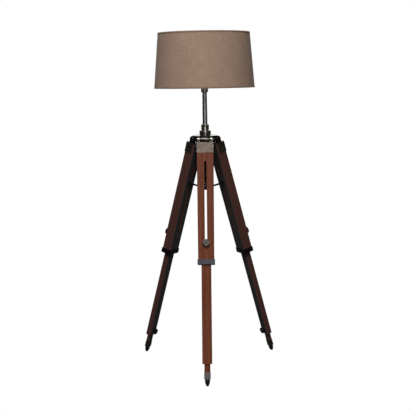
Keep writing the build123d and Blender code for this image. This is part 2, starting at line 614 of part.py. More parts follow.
def build_rod_nut():
    """Knurled thumb nut that stops the spreader collar."""
    nut = Cylinder(ROD_NUT_RADIUS, ROD_NUT_HEIGHT)
    nut = fillet(nut.edges().filter_by(GeomType.CIRCLE), 1)
    nut = knurl(nut, ROD_NUT_RADIUS, ROD_NUT_HEIGHT, KNURL_COUNT // 2)
    nut -= Cylinder(ROD_RADIUS - ROD_THREAD_STEP + RUNNING_GAP, ROD_NUT_HEIGHT)
    return Pos(0, 0, ROD_END + ROD_NUT_HEIGHT / 2) * nut


def build_hub_casting():
    """Cast hub: shallow dome, drum, three hinge knuckles and the boss for the rod."""
    dome_profile = make_face(
        Line((0, 0), (DOME_RADIUS, 0))
        + Line((DOME_RADIUS, 0), (DOME_RADIUS, DOME_EDGE))
        + ThreePointArc(
            (DOME_RADIUS, DOME_EDGE),
            ((DOME_RADIUS + COLLAR_LOW_RADIUS) / 2, DOME_SHOULDER),
            (COLLAR_LOW_RADIUS, DOME_RISE),
        )
        + Line((COLLAR_LOW_RADIUS, DOME_RISE), (0, DOME_RISE))
        + Line((0, DOME_RISE), (0, 0))
    )
    hub = Pos(0, 0, DOME_BASE) * revolve(Plane.XZ * dome_profile, Axis.Z)
    drum_bottom = HINGE_HEIGHT - HUB_LUG_DROP
    hub += Pos(0, 0, (drum_bottom + DOME_BASE) / 2) * Cylinder(HUB_DRUM_RADIUS, DOME_BASE - drum_bottom)
    boss_bottom = HINGE_HEIGHT - HUB_BOSS_DROP
    hub += Pos(0, 0, (boss_bottom + DOME_BASE) / 2) * Cylinder(HUB_BOSS_RADIUS, DOME_BASE - boss_bottom)
    lug_height = DOME_BASE - drum_bottom
    for index in range(len(LEG_NAMES)):
        web = Box(KNUCKLE_LENGTH, HINGE_RADIUS, lug_height)
        lug = Pos(0, -HINGE_RADIUS / 2, (drum_bottom + DOME_BASE) / 2) * web
        lug += side_pin(BARREL_RADIUS, -KNUCKLE_LENGTH / 2, KNUCKLE_LENGTH / 2, HINGE_HEIGHT, -HINGE_RADIUS)
        hub += around_legs(lug, index)
    bolt = side_pin(BOLT_RADIUS + RUNNING_GAP, -KNUCKLE_LENGTH, KNUCKLE_LENGTH, HINGE_HEIGHT, -HINGE_RADIUS)
    for index in range(len(LEG_NAMES)):
        hub -= around_legs(bolt, index)
    socket = Cylinder(ROD_RADIUS + RUNNING_GAP, ROD_SOCKET_DEPTH)
    hub -= Pos(0, 0, boss_bottom + ROD_SOCKET_DEPTH / 2) * socket
    return hub - Pos(0, 0, COLLAR_BASE) * Cylinder(COLLAR_SPIGOT_RADIUS + RUNNING_GAP, 2 * DOME_RISE)


def build_pole_collar():
    """Turned two-step collar that holds the pole, drilled for its set screw and the cord bush."""
    low = Pos(0, 0, COLLAR_BASE + COLLAR_LOW_HEIGHT / 2) * Cylinder(COLLAR_LOW_RADIUS, COLLAR_LOW_HEIGHT)
    low = fillet(low.edges().sort_by(Axis.Z)[-1:], COLLAR_LOW_ROUND)
    waist = Pos(0, 0, COLLAR_LOW_TOP) * Cylinder(COLLAR_GROOVE_RADIUS, 4 * COLLAR_GROOVE)
    top_middle = COLLAR_RIM - COLLAR_TOP_HEIGHT / 2
    top = Pos(0, 0, top_middle) * Cylinder(COLLAR_TOP_RADIUS, COLLAR_TOP_HEIGHT)
    top = fillet(top.edges().filter_by(GeomType.CIRCLE), COLLAR_TOP_ROUND)
    spigot = Pos(0, 0, COLLAR_BASE) * Cylinder(COLLAR_SPIGOT_RADIUS, 2 * DOME_RISE - 1)
    collar = low + waist + top + spigot
    bore_bottom = COLLAR_BASE + COLLAR_FLOOR
    bore = Cylinder(POLE_BOTTOM_RADIUS + SEAT_GAP, COLLAR_RIM - bore_bottom + 1)
    collar -= Pos(0, 0, (bore_bottom + COLLAR_RIM + 1) / 2) * bore
    screw_level = SET_SCREW_BELOW_RIM - COLLAR_RIM
    collar -= cross_pin(SET_SCREW_RADIUS + RUNNING_GAP, -COLLAR_LOW_RADIUS, 0, screw_level)
    bush_level = -COLLAR_BASE - BUSH_HEIGHT
    return collar - cross_pin(BUSH_RADIUS + RUNNING_GAP, 0, 2 * COLLAR_LOW_RADIUS, bush_level)


def build_collar_set_screw():
    """Socket set screw at the front of the collar."""
    level = SET_SCREW_BELOW_RIM - COLLAR_RIM
    pole_face = -pole_radius(-level) - SEAT_GAP
    outer = -COLLAR_TOP_RADIUS + SET_SCREW_INSET
    body = cross_pin(SET_SCREW_RADIUS, outer, pole_face, level)
    return body - cross_pin(SET_SCREW_RADIUS / 2, outer - 1, outer + SET_SCREW_SOCKET, level)


def pole_radius(height):
    """Outside radius of the pole at a height."""
    bottom = COLLAR_BASE + COLLAR_FLOOR
    share = (height - bottom) / (CUP_BASE - bottom)
    return POLE_BOTTOM_RADIUS + share * (POLE_TOP_RADIUS - POLE_BOTTOM_RADIUS)


def build_pole():
    """Slightly tapered tube from the collar up to the lamp holder."""
    bottom = COLLAR_BASE + COLLAR_FLOOR
    length = CUP_BASE - bottom
    middle = Pos(0, 0, (bottom + CUP_BASE) / 2)
    tube = middle * Cone(POLE_BOTTOM_RADIUS, POLE_TOP_RADIUS, length)
    tube -= middle * Cylinder(POLE_BORE, length)
    inlet = cross_pin(CORD_HOLE_RADIUS, 0, 2 * POLE_BOTTOM_RADIUS, -COLLAR_BASE - BUSH_HEIGHT)
    return tube - inlet


def build_cord_bush():
    """Rubber bush of the cord's inlet, at the back of the collar."""
    level = -COLLAR_BASE - BUSH_HEIGHT
    inner = POLE_BOTTOM_RADIUS + 1
    outer = COLLAR_LOW_RADIUS + BUSH_FLANGE
    bush = cross_pin(BUSH_RADIUS, inner, outer, level)
    flange = cross_pin(BUSH_FLANGE_RADIUS, COLLAR_LOW_RADIUS - 0.3, outer, level)
    flange -= Pos(0, 0, -level) * Cylinder(COLLAR_LOW_RADIUS, 4 * BUSH_RADIUS)
    flange = fillet(flange.edges().filter_by(GeomType.CIRCLE).sort_by(Axis.Y)[-1:], 1)
    return bush + flange - cross_pin(CORD_HOLE_RADIUS, 0, 2 * COLLAR_LOW_RADIUS, level)


def build_holder_cup():
    """Spun cup under the lamp holder, with a spigot into the pole."""
    cup = Pos(0, 0, CUP_BASE + CUP_HEIGHT / 2) * Cylinder(CUP_RADIUS, CUP_HEIGHT)
    cup = fillet(cup.edges().sort_by(Axis.Z)[:1], CUP_ROUND)
    inside = Cylinder(CUP_RADIUS - CUP_WALL, CUP_HEIGHT)
    inside = fillet(inside.edges().sort_by(Axis.Z)[:1], CUP_ROUND - CUP_WALL)
    cup -= Pos(0, 0, CUP_BASE + CUP_WALL + CUP_HEIGHT / 2) * inside
    cup += Pos(0, 0, CUP_BASE - CUP_SPIGOT / 2) * Cylinder(POLE_BORE - SEAT_GAP, CUP_SPIGOT)
    return cup - Pos(0, 0, CUP_BASE) * Cylinder(CORD_HOLE_RADIUS, 4 * CUP_SPIGOT)


def build_holder_body():
    """Moulded lamp holder with a shoulder for the shade, ribbed above it like its ring thread."""
    floor = CUP_BASE + CUP_ROUND
    neck_radius = CUP_RADIUS - CUP_WALL - SEAT_GAP
    body = Pos(0, 0, (floor + CUP_TOP) / 2) * Cylinder(neck_radius, CUP_TOP - floor)
    body += Pos(0, 0, CUP_TOP + SEAT_GAP + HOLDER_RISE / 2) * Cylinder(HOLDER_RADIUS, HOLDER_RISE)
    body += Pos(0, 0, CUP_TOP) * Cylinder(neck_radius, HOLDER_STEP)
    body += Pos(0, 0, FLANGE_TOP - FLANGE_THICKNESS / 2) * Cylinder(FLANGE_RADIUS, FLANGE_THICKNESS)
    socket_floor = CUP_TOP + HOLDER_STEP
    socket = Cylinder(HOLDER_RADIUS - HOLDER_WALL, HOLDER_RISE + 1)
    body -= Pos(0, 0, socket_floor + (HOLDER_RISE + 1) / 2) * socket
    return body - Pos(0, 0, CUP_TOP) * Cylinder(CORD_HOLE_RADIUS + 1, 4 * CUP_HEIGHT)


def build_holder_contact():
    """Brass centre contact at the bottom of the holder."""
    floor = CUP_TOP + HOLDER_STEP
    disc = Pos(0, 0, floor + CONTACT_HEIGHT / 4) * Cylinder(2.2 * CORD_HOLE_RADIUS, CONTACT_HEIGHT / 2)
    button = Pos(0, 0, floor + CONTACT_HEIGHT / 2) * Cylinder(CORD_HOLE_RADIUS, CONTACT_HEIGHT)
    return disc + fillet(button.edges().sort_by(Axis.Z)[-1:], 1)


def build_bulb_cap():
    """Screw cap of the bulb, ribbed like its thread."""
    tip = CUP_TOP + HOLDER_STEP + CONTACT_HEIGHT + FACE_GAP
    cone = Pos(0, 0, tip + BULB_CAP_TIP / 2) * Cone(*BULB_CAP_TIP_RADII, BULB_CAP_TIP)
    bottom = tip + BULB_CAP_TIP
    core = Cylinder(BULB_CAP_RADIUS - 0.75 * BULB_THREAD_RADIUS, BULB_CAP_HEIGHT)
    cap = cone + Pos(0, 0, bottom + BULB_CAP_HEIGHT / 2) * core
    for turn in range(int(BULB_CAP_HEIGHT / BULB_THREAD_PITCH)):
        ridge = Torus(BULB_CAP_RADIUS - BULB_THREAD_RADIUS, BULB_THREAD_RADIUS)
        cap += Pos(0, 0, bottom + (turn + 0.5) * BULB_THREAD_PITCH) * ridge
    return cap


def glass_outline(inset):
    """Half outline of the bulb's glass, moved in by an inset, from its neck to its crown."""
    radius = BULB_RADIUS - inset
    neck = BULB_NECK_RADIUS - inset
    centre = BULB_HEIGHT - BULB_RADIUS
    lean = radians(BULB_SHOULDER)
    shoulder = (radius * cos(lean), centre - radius * sin(lean))
    outline = Polyline((0, 0), (neck, 0), (neck, BULB_NECK_HEIGHT), shoulder)
    crown = ThreePointArc(shoulder, (radius * cos(lean), centre + radius * sin(lean)), (0, centre + radius))
    return make_face(outline + crown + Line((0, centre + radius), (0, 0)))


def build_bulb_glass():
    """Pear-shaped glass, open inside."""
    bottom = CUP_TOP + HOLDER_STEP + CONTACT_HEIGHT + FACE_GAP + BULB_CAP_TIP + BULB_CAP_HEIGHT
    outer = revolve(Plane.XZ * glass_outline(0), Axis.Z)
    inner = revolve(Plane.XZ * glass_outline(GLASS_WALL), Axis.Z)
    return Pos(0, 0, bottom) * (outer - inner)


def build_shade_ring():
    """Screw ring that clamps the shade's spider on the holder."""
    bottom = FLANGE_TOP + SPIDER_THICKNESS + 2 * SEAT_GAP + FACE_GAP
    ring = Cylinder(SHADE_RING_RADIUS, SHADE_RING_HEIGHT)
    ring = fillet(ring.edges().filter_by(GeomType.CIRCLE), 1)
    ring = knurl(ring, SHADE_RING_RADIUS, SHADE_RING_HEIGHT, KNURL_COUNT)
    ring -= Cylinder(HOLDER_RADIUS + RUNNING_GAP, SHADE_RING_HEIGHT)
    return Pos(0, 0, bottom + SHADE_RING_HEIGHT / 2) * ring


def shade_radius(height):
    """Outside radius of the shade at a height."""
    share = (height - SHADE_BOTTOM) / SHADE_HEIGHT
    return SHADE_BOTTOM_RADIUS + share * (SHADE_TOP_RADIUS - SHADE_BOTTOM_RADIUS)


def shade_shell(outer_inset, inner_inset):
    """Conical shell between two insets from the shade's outer surface."""
    middle = Pos(0, 0, (SHADE_BOTTOM + SHADE_TOP) / 2)
    outer = Cone(SHADE_BOTTOM_RADIUS - outer_inset, SHADE_TOP_RADIUS - outer_inset, SHADE_HEIGHT)
    inner = Cone(SHADE_BOTTOM_RADIUS - inner_inset, SHADE_TOP_RADIUS - inner_inset, SHADE_HEIGHT)
    return middle * (outer - inner)


def wire_ring(height):
    """Wire ring just inside the shade's lining at a height."""
    inset = FABRIC_THICKNESS + LINER_THICKNESS + WIRE_RADIUS + SEAT_GAP
    return Pos(0, 0, height) * Torus(shade_radius(height) - inset, WIRE_RADIUS)


def build_shade_frame():
    """Bottom ring with the three-armed spider, and the loose top ring."""
    low = SHADE_BOTTOM + WIRE_INSET
    spider_level = FLANGE_TOP + SEAT_GAP + SPIDER_THICKNESS / 2
    gallery = Cylinder(GALLERY_RADIUS, SPIDER_THICKNESS)
    gallery -= Cylinder(HOLDER_RADIUS + FACE_GAP, SPIDER_THICKNESS)
    frame = wire_ring(low) + Pos(0, 0, spider_level) * gallery
    start_radius = GALLERY_RADIUS - SPIDER_WIRE_RADIUS / 2
    end_radius = shade_radius(low) - FABRIC_THICKNESS - LINER_THICKNESS - WIRE_RADIUS
    arm_start = Vector(0, -start_radius, spider_level)
    arm_bend = Vector(0, -start_radius - SPIDER_STRAIGHT, spider_level)
    arm_end = Vector(0, -end_radius, low)
    path = FilletPolyline(arm_start, arm_bend, arm_end, radius=SPIDER_BEND)
    arm = sweep(Plane(origin=arm_start, z_dir=path % 0) * Circle(SPIDER_WIRE_RADIUS), path)
    for index in range(len(LEG_NAMES)):
        frame += around_legs(arm, index)
    return Compound(children=[frame, wire_ring(SHADE_TOP - WIRE_INSET)])


LEG_PARTS = {
    "upper_leg": build_upper_leg,
    "leg_cap": build_leg_cap,
    "cap_screws": build_cap_screws,
    "hinge_bolt": build_hinge_bolt,
    "leg_band": build_leg_band,
    "link_bracket": build_link_bracket,
    "middle_leg": build_middle_leg,
    "clamp_insert": build_clamp_insert,
    "clamp_knob": build_clamp_knob,
    "foot_leg": build_foot_leg,
    "foot_knob": build_foot_knob,
    "ferrule": build_ferrule,
    "foot_tip": build_foot_tip,
}

CENTRE_PARTS = {
    "hub_casting": build_hub_casting,
    "pole_collar": build_pole_collar,
    "collar_set_screw": build_collar_set_screw,
    "pole": build_pole,
    "cord_bush": build_cord_bush,
    "centre_rod": build_centre_rod,
    "spreader_collar": build_spreader_collar,
    "link_pins": build_link_pins,
    "rod_nut": build_rod_nut,
    "holder_cup": build_holder_cup,
    "holder_body": build_holder_body,
    "holder_contact": build_holder_contact,
    "bulb_cap": build_bulb_cap,
    "bulb_glass": build_bulb_glass,
    "shade_ring": build_shade_ring,
    "shade_frame": build_shade_frame,
    "shade_fabric": lambda: shade_shell(0, FABRIC_THICKNESS),
    "shade_liner": lambda: shade_shell(FABRIC_THICKNESS, FABRIC_THICKNESS + LINER_THICKNESS),
}


def place_on_leg(shape, index):
    """Tilt a leg piece out about its hinge and turn it to its own leg."""
    hinge = Pos(0, -HINGE_RADIUS, HINGE_HEIGHT) * Rot(-SPLAY, 0, 0)
    return around_legs(hinge * shape, index)


def save(shape, name):
    """Write one node's file, set back so that the origin is the middle of the lamp's box."""
    export_step(Pos(0, SETBACK, 0) * shape, os.path.join("parts", name + ".step"))


def main():
    """Build every node and write its file."""
    os.makedirs("parts", exist_ok=True)
    for name, build in CENTRE_PARTS.items():
        save(build(), name)
    for name, build in LEG_PARTS.items():
        shape = build()
        for index, leg in enumerate(LEG_NAMES):
            save(place_on_leg(shape, index), f"{name}_{leg}")
    link = place_link(build_spreader_link())
    for index, leg in enumerate(LEG_NAMES):
        save(around_legs(link, index), f"spreader_link_{leg}")


main()
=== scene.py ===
"""Looks of the tripod floor lamp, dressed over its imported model.

Every length is in metres and +Z is up. The centre line of the pole and shade stands behind the
model's origin, at the place that centre_line() gives. The metal and wooden pieces keep the shapes
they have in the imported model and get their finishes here. The shade is woven, hemmed and seamed
here, in the place of its plain stand-in.
"""

import json
import logging
import math
from dataclasses import dataclass
from enum import Enum

import bmesh
import bpy
from mathutils import Euler, Matrix, Vector


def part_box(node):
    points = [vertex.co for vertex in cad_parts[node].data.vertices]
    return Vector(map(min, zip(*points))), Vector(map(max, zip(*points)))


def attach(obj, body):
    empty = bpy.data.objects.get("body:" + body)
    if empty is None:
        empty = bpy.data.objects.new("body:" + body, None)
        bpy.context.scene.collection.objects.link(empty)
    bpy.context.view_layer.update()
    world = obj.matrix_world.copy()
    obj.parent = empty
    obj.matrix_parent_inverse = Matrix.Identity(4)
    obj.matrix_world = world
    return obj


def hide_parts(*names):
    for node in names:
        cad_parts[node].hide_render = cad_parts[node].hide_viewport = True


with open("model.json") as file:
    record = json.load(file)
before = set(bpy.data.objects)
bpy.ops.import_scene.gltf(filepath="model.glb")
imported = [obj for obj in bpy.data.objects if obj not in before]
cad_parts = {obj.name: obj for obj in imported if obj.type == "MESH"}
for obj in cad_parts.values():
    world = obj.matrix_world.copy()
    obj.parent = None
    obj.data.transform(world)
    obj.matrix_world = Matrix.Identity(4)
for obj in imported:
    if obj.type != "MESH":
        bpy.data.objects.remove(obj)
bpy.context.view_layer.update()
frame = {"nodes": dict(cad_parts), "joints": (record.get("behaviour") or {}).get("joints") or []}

JOINTS = {joint["name"]: joint for joint in frame["joints"]}
LOG = logging.getLogger("tripod_lamp")
MM = 0.001
SHARP_ANGLE = math.radians(50)
WELD_REACH = 0.005 * MM
WAVE_PERIOD = math.pi / 10  # distance between the rings of a wave texture whose scale is 1


class Leg(Enum):
    """The three legs, with each one's turn from the front leg, in degrees."""

    FRONT = 0
    RIGHT = 120
    LEFT = 240

    @property
    def word(self) -> str:
        """Name of the leg as its pieces carry it."""
        return self.name.lower()


class Weave(Enum):
    """Which way a strip of shade linen is cut: with its warp upright, or on the roll."""

    UPRIGHT = 0.0
    ALONG = 0.5


def hex_linear(code: str) -> tuple[float, float, float, float]:
    """Turn an sRGB hex colour into a linear RGBA colour.

    Args:
        code: Colour as "#rrggbb".

    Returns:
        Linear red, green and blue, with an alpha of 1.
    """
    parts = [int(code[start:start + 2], 16) / 255 for start in (1, 3, 5)]
    linear = [part / 12.92 if part <= 0.04045 else ((part + 0.055) / 1.055) ** 2.4 for part in parts]
    return (linear[0], linear[1], linear[2], 1.0)


def add_node(tree: bpy.types.NodeTree, kind: str, inputs: dict | None = None, **settings) -> bpy.types.Node:
    """Add a shader node, with its settings, its values and its links.

    Args:
        tree: Node tree that gets the node.
        kind: Node type without its "ShaderNode" prefix.
        inputs: Value, or socket to link from, for each input name or index.
        **settings: Properties of the node.

    Returns:
        The new node.
    """
    node = tree.nodes.new("ShaderNode" + kind)
    for name, value in settings.items():
        setattr(node, name, value)
    for key, value in (inputs or {}).items():
        if isinstance(value, bpy.types.NodeSocket):
            tree.links.new(value, node.inputs[key])
        else:
            node.inputs[key].default_value = value
    return node


def new_material(name: str) -> tuple[bpy.types.Material, bpy.types.NodeTree]:
    """Make an empty node material.

    Args:
        name: Material name.

    Returns:
        The material and its cleared node tree.
    """
    material = bpy.data.materials.new(name)
    material.use_nodes = True
    material.node_tree.nodes.clear()
    return material, material.node_tree


def centre_line() -> Vector:
    """Find where the lamp's centre line meets the floor, from the joint that the shade turns on."""
    spot = JOINTS["shade_turn"]["pos_m"]
    return Vector((spot[0], spot[1], 0.0))


def hinge_place() -> tuple[float, float, float]:
    """Find the front leg's hinge from the model's joints.

    Returns:
        Radius from the centre line, height, and lean of the leg in radians.
    """
    spot = JOINTS["fold_front"]["pos_m"]
    along = JOINTS["middle_slide_front"]["axis"]
    return centre_line().y - spot[1], spot[2], math.atan2(along[1], along[2])


def board_size(node: str) -> tuple[float, float, float]:
    """Measure a board of the front leg, in the leg's own space.

    Args:
        node: Name of the board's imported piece.

    Returns:
        Half its width at the hinge's level, half its depth, and what the half-width gains per metre
        up the leg.
    """
    radius, height, lean = hinge_place()
    offset = Vector((0.0, radius, -height)) - centre_line()
    tilt = Matrix.Rotation(lean, 3, "X")
    spots = [tilt @ (vert.co + offset) for vert in frame["nodes"][node].data.vertices]
    high = max(spot.z for spot in spots)
    low = min(spot.z for spot in spots)
    top_half = max(spot.x for spot in spots if spot.z > high - MM)
    foot_half = max(spot.x for spot in spots if spot.z < low + MM)
    taper = (top_half - foot_half) / (high - low)
    return top_half - taper * high, max(spot.y for spot in spots), taper


def leg_space(tree: bpy.types.NodeTree, leg: Leg) -> bpy.types.NodeSocket:
    """Turn the model's space into a leg's own: X across, Y through and Z along it, up to its hinge.

    Args:
        tree: Node tree of the material.
        leg: The leg that the piece is on.

    Returns:
        Socket of the leg's coordinates.
    """
    radius, height, lean = hinge_place()
    turn = -math.radians(leg.value)
    offset = Vector((0.0, radius, -height)) - Matrix.Rotation(turn, 3, "Z") @ centre_line()
    place = add_node(tree, "TexCoord").outputs["Object"]
    turned = add_node(
        tree, "Mapping", {"Vector": place, "Location": tuple(offset), "Rotation": (0.0, 0.0, turn)}
    ).outputs[0]
    return add_node(tree, "Mapping", {"Vector": turned, "Rotation": (lean, 0.0, 0.0)}).outputs[0]


@dataclass(frozen=True)
class StainedWood:
    """Plantation hardwood, stained brown and sprayed with a satin lacquer.

    The stain sits deep in the long pores and thin on the ridges, so the eye sees dark dashes and
    slow bands along the board, and slightly rubbed, lighter arrises. The flanks carry a darker
    stain together with painted shade and a grey painted sheen, and the inner face is painted near
    black as painted shade, so the legs read darker from inside.
    """

    half_width: float
    half_depth: float
    taper: float
    pale: str = "#87492f"
    deep: str = "#5b2d1b"
    pore: str = "#2e160d"
    rubbed: str = "#9a6444"
    # Flank colour: partly a darker stain, partly painted shade, with a grey painted sheen.
    flank: str = "#4b3736"
    flank_share: float = 0.72
    # Inner face colour: painted shade, near black.
    inner: str = "#44484b"
    inner_share: float = 0.94
    ring_mm: float = 8.88
    ring_along: float = 0.07
    heart_mm: float = 90.0
    band_mm: float = 26.0
    band_along: float = 0.045
    fibre_mm: float = 1.4
    fibre_along: float = 0.02
    pore_mm: float = 0.9
    pore_along: float = 0.06
    rub_mm: tuple[float, float] = (2.2, 0.4)
    # Depths from the faces over which the flank and inner painted shade fades in.
    soak_mm: tuple[float, float] = (1.6, 0.3)
    relief_mm: float = 0.25
    roughness: float = 0.42

    def make(self, name: str, leg: Leg) -> bpy.types.Material:
        """Make the wood of one board, with its grain along its own leg.

        Args:
            name: Material name.
            leg: The leg that the board is on.

        Returns:
            The material.
        """
        material, tree = new_material(name)
        board = leg_space(tree, leg)
        band, rings = self._growth(tree, board, leg)
        fibre, pores = self._fibres(tree, board, leg)
        colour = self._stain(tree, (band, rings, fibre, pores))
        # The flank and inner colours mixed in here are painted shade; the flank colour also holds a darker
        # stain.
        faces = zip(self._faces(tree, board, fibre), (self.rubbed, self.flank, self.inner))
        for share, stain in faces:
            colour = add_node(
                tree, "Mix", {0: share, 6: colour, 7: hex_linear(stain)}, data_type="RGBA"
            ).outputs[2]
        rough = add_node(
            tree,
            "MapRange",
            {
                "Value": band,
                "From Min": 0.3,
                "From Max": 0.7,
                "To Min": self.roughness - 0.07,
                "To Max": self.roughness + 0.08,
            },
        ).outputs[0]
        relief = add_node(tree, "Math", {0: pores, 1: -0.6, 2: fibre}, operation="MULTIPLY_ADD").outputs[0]
        bump = add_node(tree, "Bump", {"Height": relief, "Strength": 0.22, "Distance": self.relief_mm * MM})
        shader = add_node(
            tree,
            "BsdfPrincipled",
            {
                "Base Color": colour,
                "Roughness": rough,
                "Normal": bump.outputs[0],
                "IOR": 1.5,
                "Specular IOR Level": 0.1,
            },
        )
        add_node(tree, "OutputMaterial", {"Surface": shader.outputs[0]})
        return material

    def _growth(
        self, tree: bpy.types.NodeTree, board: bpy.types.NodeSocket, leg: Leg
    ) -> tuple[bpy.types.NodeSocket, bpy.types.NodeSocket]:
        """Draw what the tree's growth left: slow bands of tone, and rings round the log's heart.

        Args:
            tree: Node tree of the wood.
            board: Socket of the board's coordinates.
            leg: The leg that the board is on.

        Returns:
            Sockets of the bands and the rings.
        """
        band = add_node(
            tree,
            "TexNoise",
            {
                "Vector": self._stretched(tree, board, leg, self.band_along),
                "Scale": 1 / (self.band_mm * MM),
                "Detail": 3.0,
                "Roughness": 0.55,
            },
        ).outputs[0]
        rings = add_node(
            tree,
            "TexWave",
            {
                "Vector": self._stretched(tree, board, leg, self.ring_along, self.heart_mm * MM),
                "Scale": WAVE_PERIOD / (self.ring_mm * MM),
                "Distortion": 5.0,
                "Detail": 3.0,
                "Detail Scale": 1.6,
            },
            wave_type="RINGS",
            rings_direction="Z",
        ).outputs[1]
        return band, rings

    def _fibres(
        self, tree: bpy.types.NodeTree, board: bpy.types.NodeSocket, leg: Leg
    ) -> tuple[bpy.types.NodeSocket, bpy.types.NodeSocket]:
        """Draw the fibres and the long open pores.

        Args:
            tree: Node tree of the wood.
            board: Socket of the board's coordinates.
            leg: The leg that the board is on.

        Returns:
            Sockets of the fibres and of the share of pore.
        """
        fibre = add_node(
            tree,
            "TexNoise",
            {
                "Vector": self._stretched(tree, board, leg, self.fibre_along),
                "Scale": 1 / (self.fibre_mm * MM),
                "Detail": 4.0,
                "Roughness": 0.65,
            },
        ).outputs[0]
        drawn = self._stretched(tree, board, leg, self.pore_along)
        dashes = add_node(
            tree, "TexNoise", {"Vector": drawn, "Scale": 1 / (self.pore_mm * MM), "Detail": 1.0}
        ).outputs[0]
        pores = add_node(
            tree, "MapRange", {"Value": dashes, "From Min": 0.60, "From Max": 0.70, "To Max": 0.65}
        ).outputs[0]
        return fibre, pores

    def _stain(
        self, tree: bpy.types.NodeTree, figure: tuple[bpy.types.NodeSocket, ...]
    ) -> bpy.types.NodeSocket:
        """Stain the wood: deeper along its bands and rings, streaked by fibre and dark in the pores.

        Args:
            tree: Node tree of the wood.
            figure: Sockets of the bands, rings, fibres and share of pore.

        Returns:
            Socket of the stained colour.
        """
        band, rings, fibre, pores = figure
        shade = add_node(
            tree, "MapRange", {"Value": band, "From Min": 0.32, "From Max": 0.70, "To Max": 0.55}
        ).outputs[0]
        shade = add_node(tree, "Math", {0: rings, 1: 0.45, 2: shade}, operation="MULTIPLY_ADD").outputs[0]
        colour = add_node(
            tree, "Mix", {0: shade, 6: hex_linear(self.pale), 7: hex_linear(self.deep)}, data_type="RGBA"
        ).outputs[2]
        streak = add_node(
            tree,
            "MapRange",
            {"Value": fibre, "From Min": 0.3, "From Max": 0.7, "To Min": 0.78, "To Max": 1.16},
        ).outputs[0]
        colour = add_node(
            tree, "Mix", {0: 1.0, 6: colour, 7: streak}, data_type="RGBA", blend_type="MULTIPLY"
        ).outputs[2]
        return add_node(
            tree, "Mix", {0: pores, 6: colour, 7: hex_linear(self.pore)}, data_type="RGBA"
        ).outputs[2]

    def _stretched(
        self,
        tree: bpy.types.NodeTree,
        board: bpy.types.NodeSocket,
        leg: Leg,
        along: float,
        heart: float = 0.0,
    ) -> bpy.types.NodeSocket:
        """Stretch a pattern along the board, at a place of its own in the log.

        Args:
            tree: Node tree of the wood.
            board: Socket of the board's coordinates.
            leg: The leg that the board is on, which picks its place in the log.
            along: Scale of the pattern along the board, where 0.05 draws it 20 times longer.
            heart: How far off the log's heart the pattern is centred, through the board.

        Returns:
            Socket of the stretched coordinates.
        """
        log_place = 0.21 * (1 + leg.value / 120) + self.half_width
        offset = (log_place * 0.13, heart + 0.02 * log_place, log_place)
        return add_node(
            tree, "Mapping", {"Vector": board, "Location": offset, "Scale": (1.0, 1.0, along)}
        ).outputs[0]

    def _faces(
        self, tree: bpy.types.NodeTree, board: bpy.types.NodeSocket, fibre: bpy.types.NodeSocket
    ) -> tuple[bpy.types.NodeSocket, bpy.types.NodeSocket, bpy.types.NodeSocket]:
        """Find the rubbed arrises at the board's long corners, its flanks and its inner face.

        Args:
            tree: Node tree of the wood.
            board: Socket of the board's coordinates.
            fibre: Socket of the fibre pattern, which breaks the wear up.

        Returns:
            Sockets of the shares of rubbed colour, of the flank colour, which is a darker stain with painted
            shade, and of the inner face's painted shade.
        """
        axes = add_node(tree, "SeparateXYZ", {"Vector": board}).outputs
        half = add_node(
            tree, "Math", {0: axes["Z"], 1: self.taper, 2: self.half_width}, operation="MULTIPLY_ADD"
        ).outputs[0]
        across = add_node(tree, "Math", {0: axes["X"]}, operation="ABSOLUTE").outputs[0]
        through = add_node(tree, "Math", {0: axes["Y"]}, operation="ABSOLUTE").outputs[0]
        side = add_node(tree, "Math", {0: half, 1: across}, operation="SUBTRACT").outputs[0]
        face = add_node(tree, "Math", {0: self.half_depth, 1: through}, operation="SUBTRACT").outputs[0]
        inset = add_node(tree, "Math", {0: side, 1: face}, operation="MAXIMUM").outputs[0]
        start, full = (depth * MM for depth in self.rub_mm)
        near = add_node(
            tree, "MapRange", {"Value": inset, "From Min": start, "From Max": full, "To Max": 0.6}
        ).outputs[0]
        patchy = add_node(tree, "MapRange", {"Value": fibre, "From Min": 0.35, "From Max": 0.65}).outputs[0]
        worn = add_node(tree, "Math", {0: near, 1: patchy}, operation="MULTIPLY").outputs[0]
        # Painted shade: the flank colour covers the side faces and the near-black inner colour covers the
        # inner face, fading out a short way in.
        start, full = (depth * MM for depth in self.soak_mm)
        skin = {"From Min": start, "From Max": full}
        flank = add_node(tree, "MapRange", {"Value": side, **skin, "To Max": self.flank_share}).outputs[0]
        # Painted shade: the inner face is darkened to near black.
        behind = add_node(tree, "Math", {0: self.half_depth, 1: axes["Y"]}, operation="SUBTRACT").outputs[0]
        inner = add_node(tree, "MapRange", {"Value": behind, **skin, "To Max": self.inner_share}).outputs[0]
        return worn, flank, inner


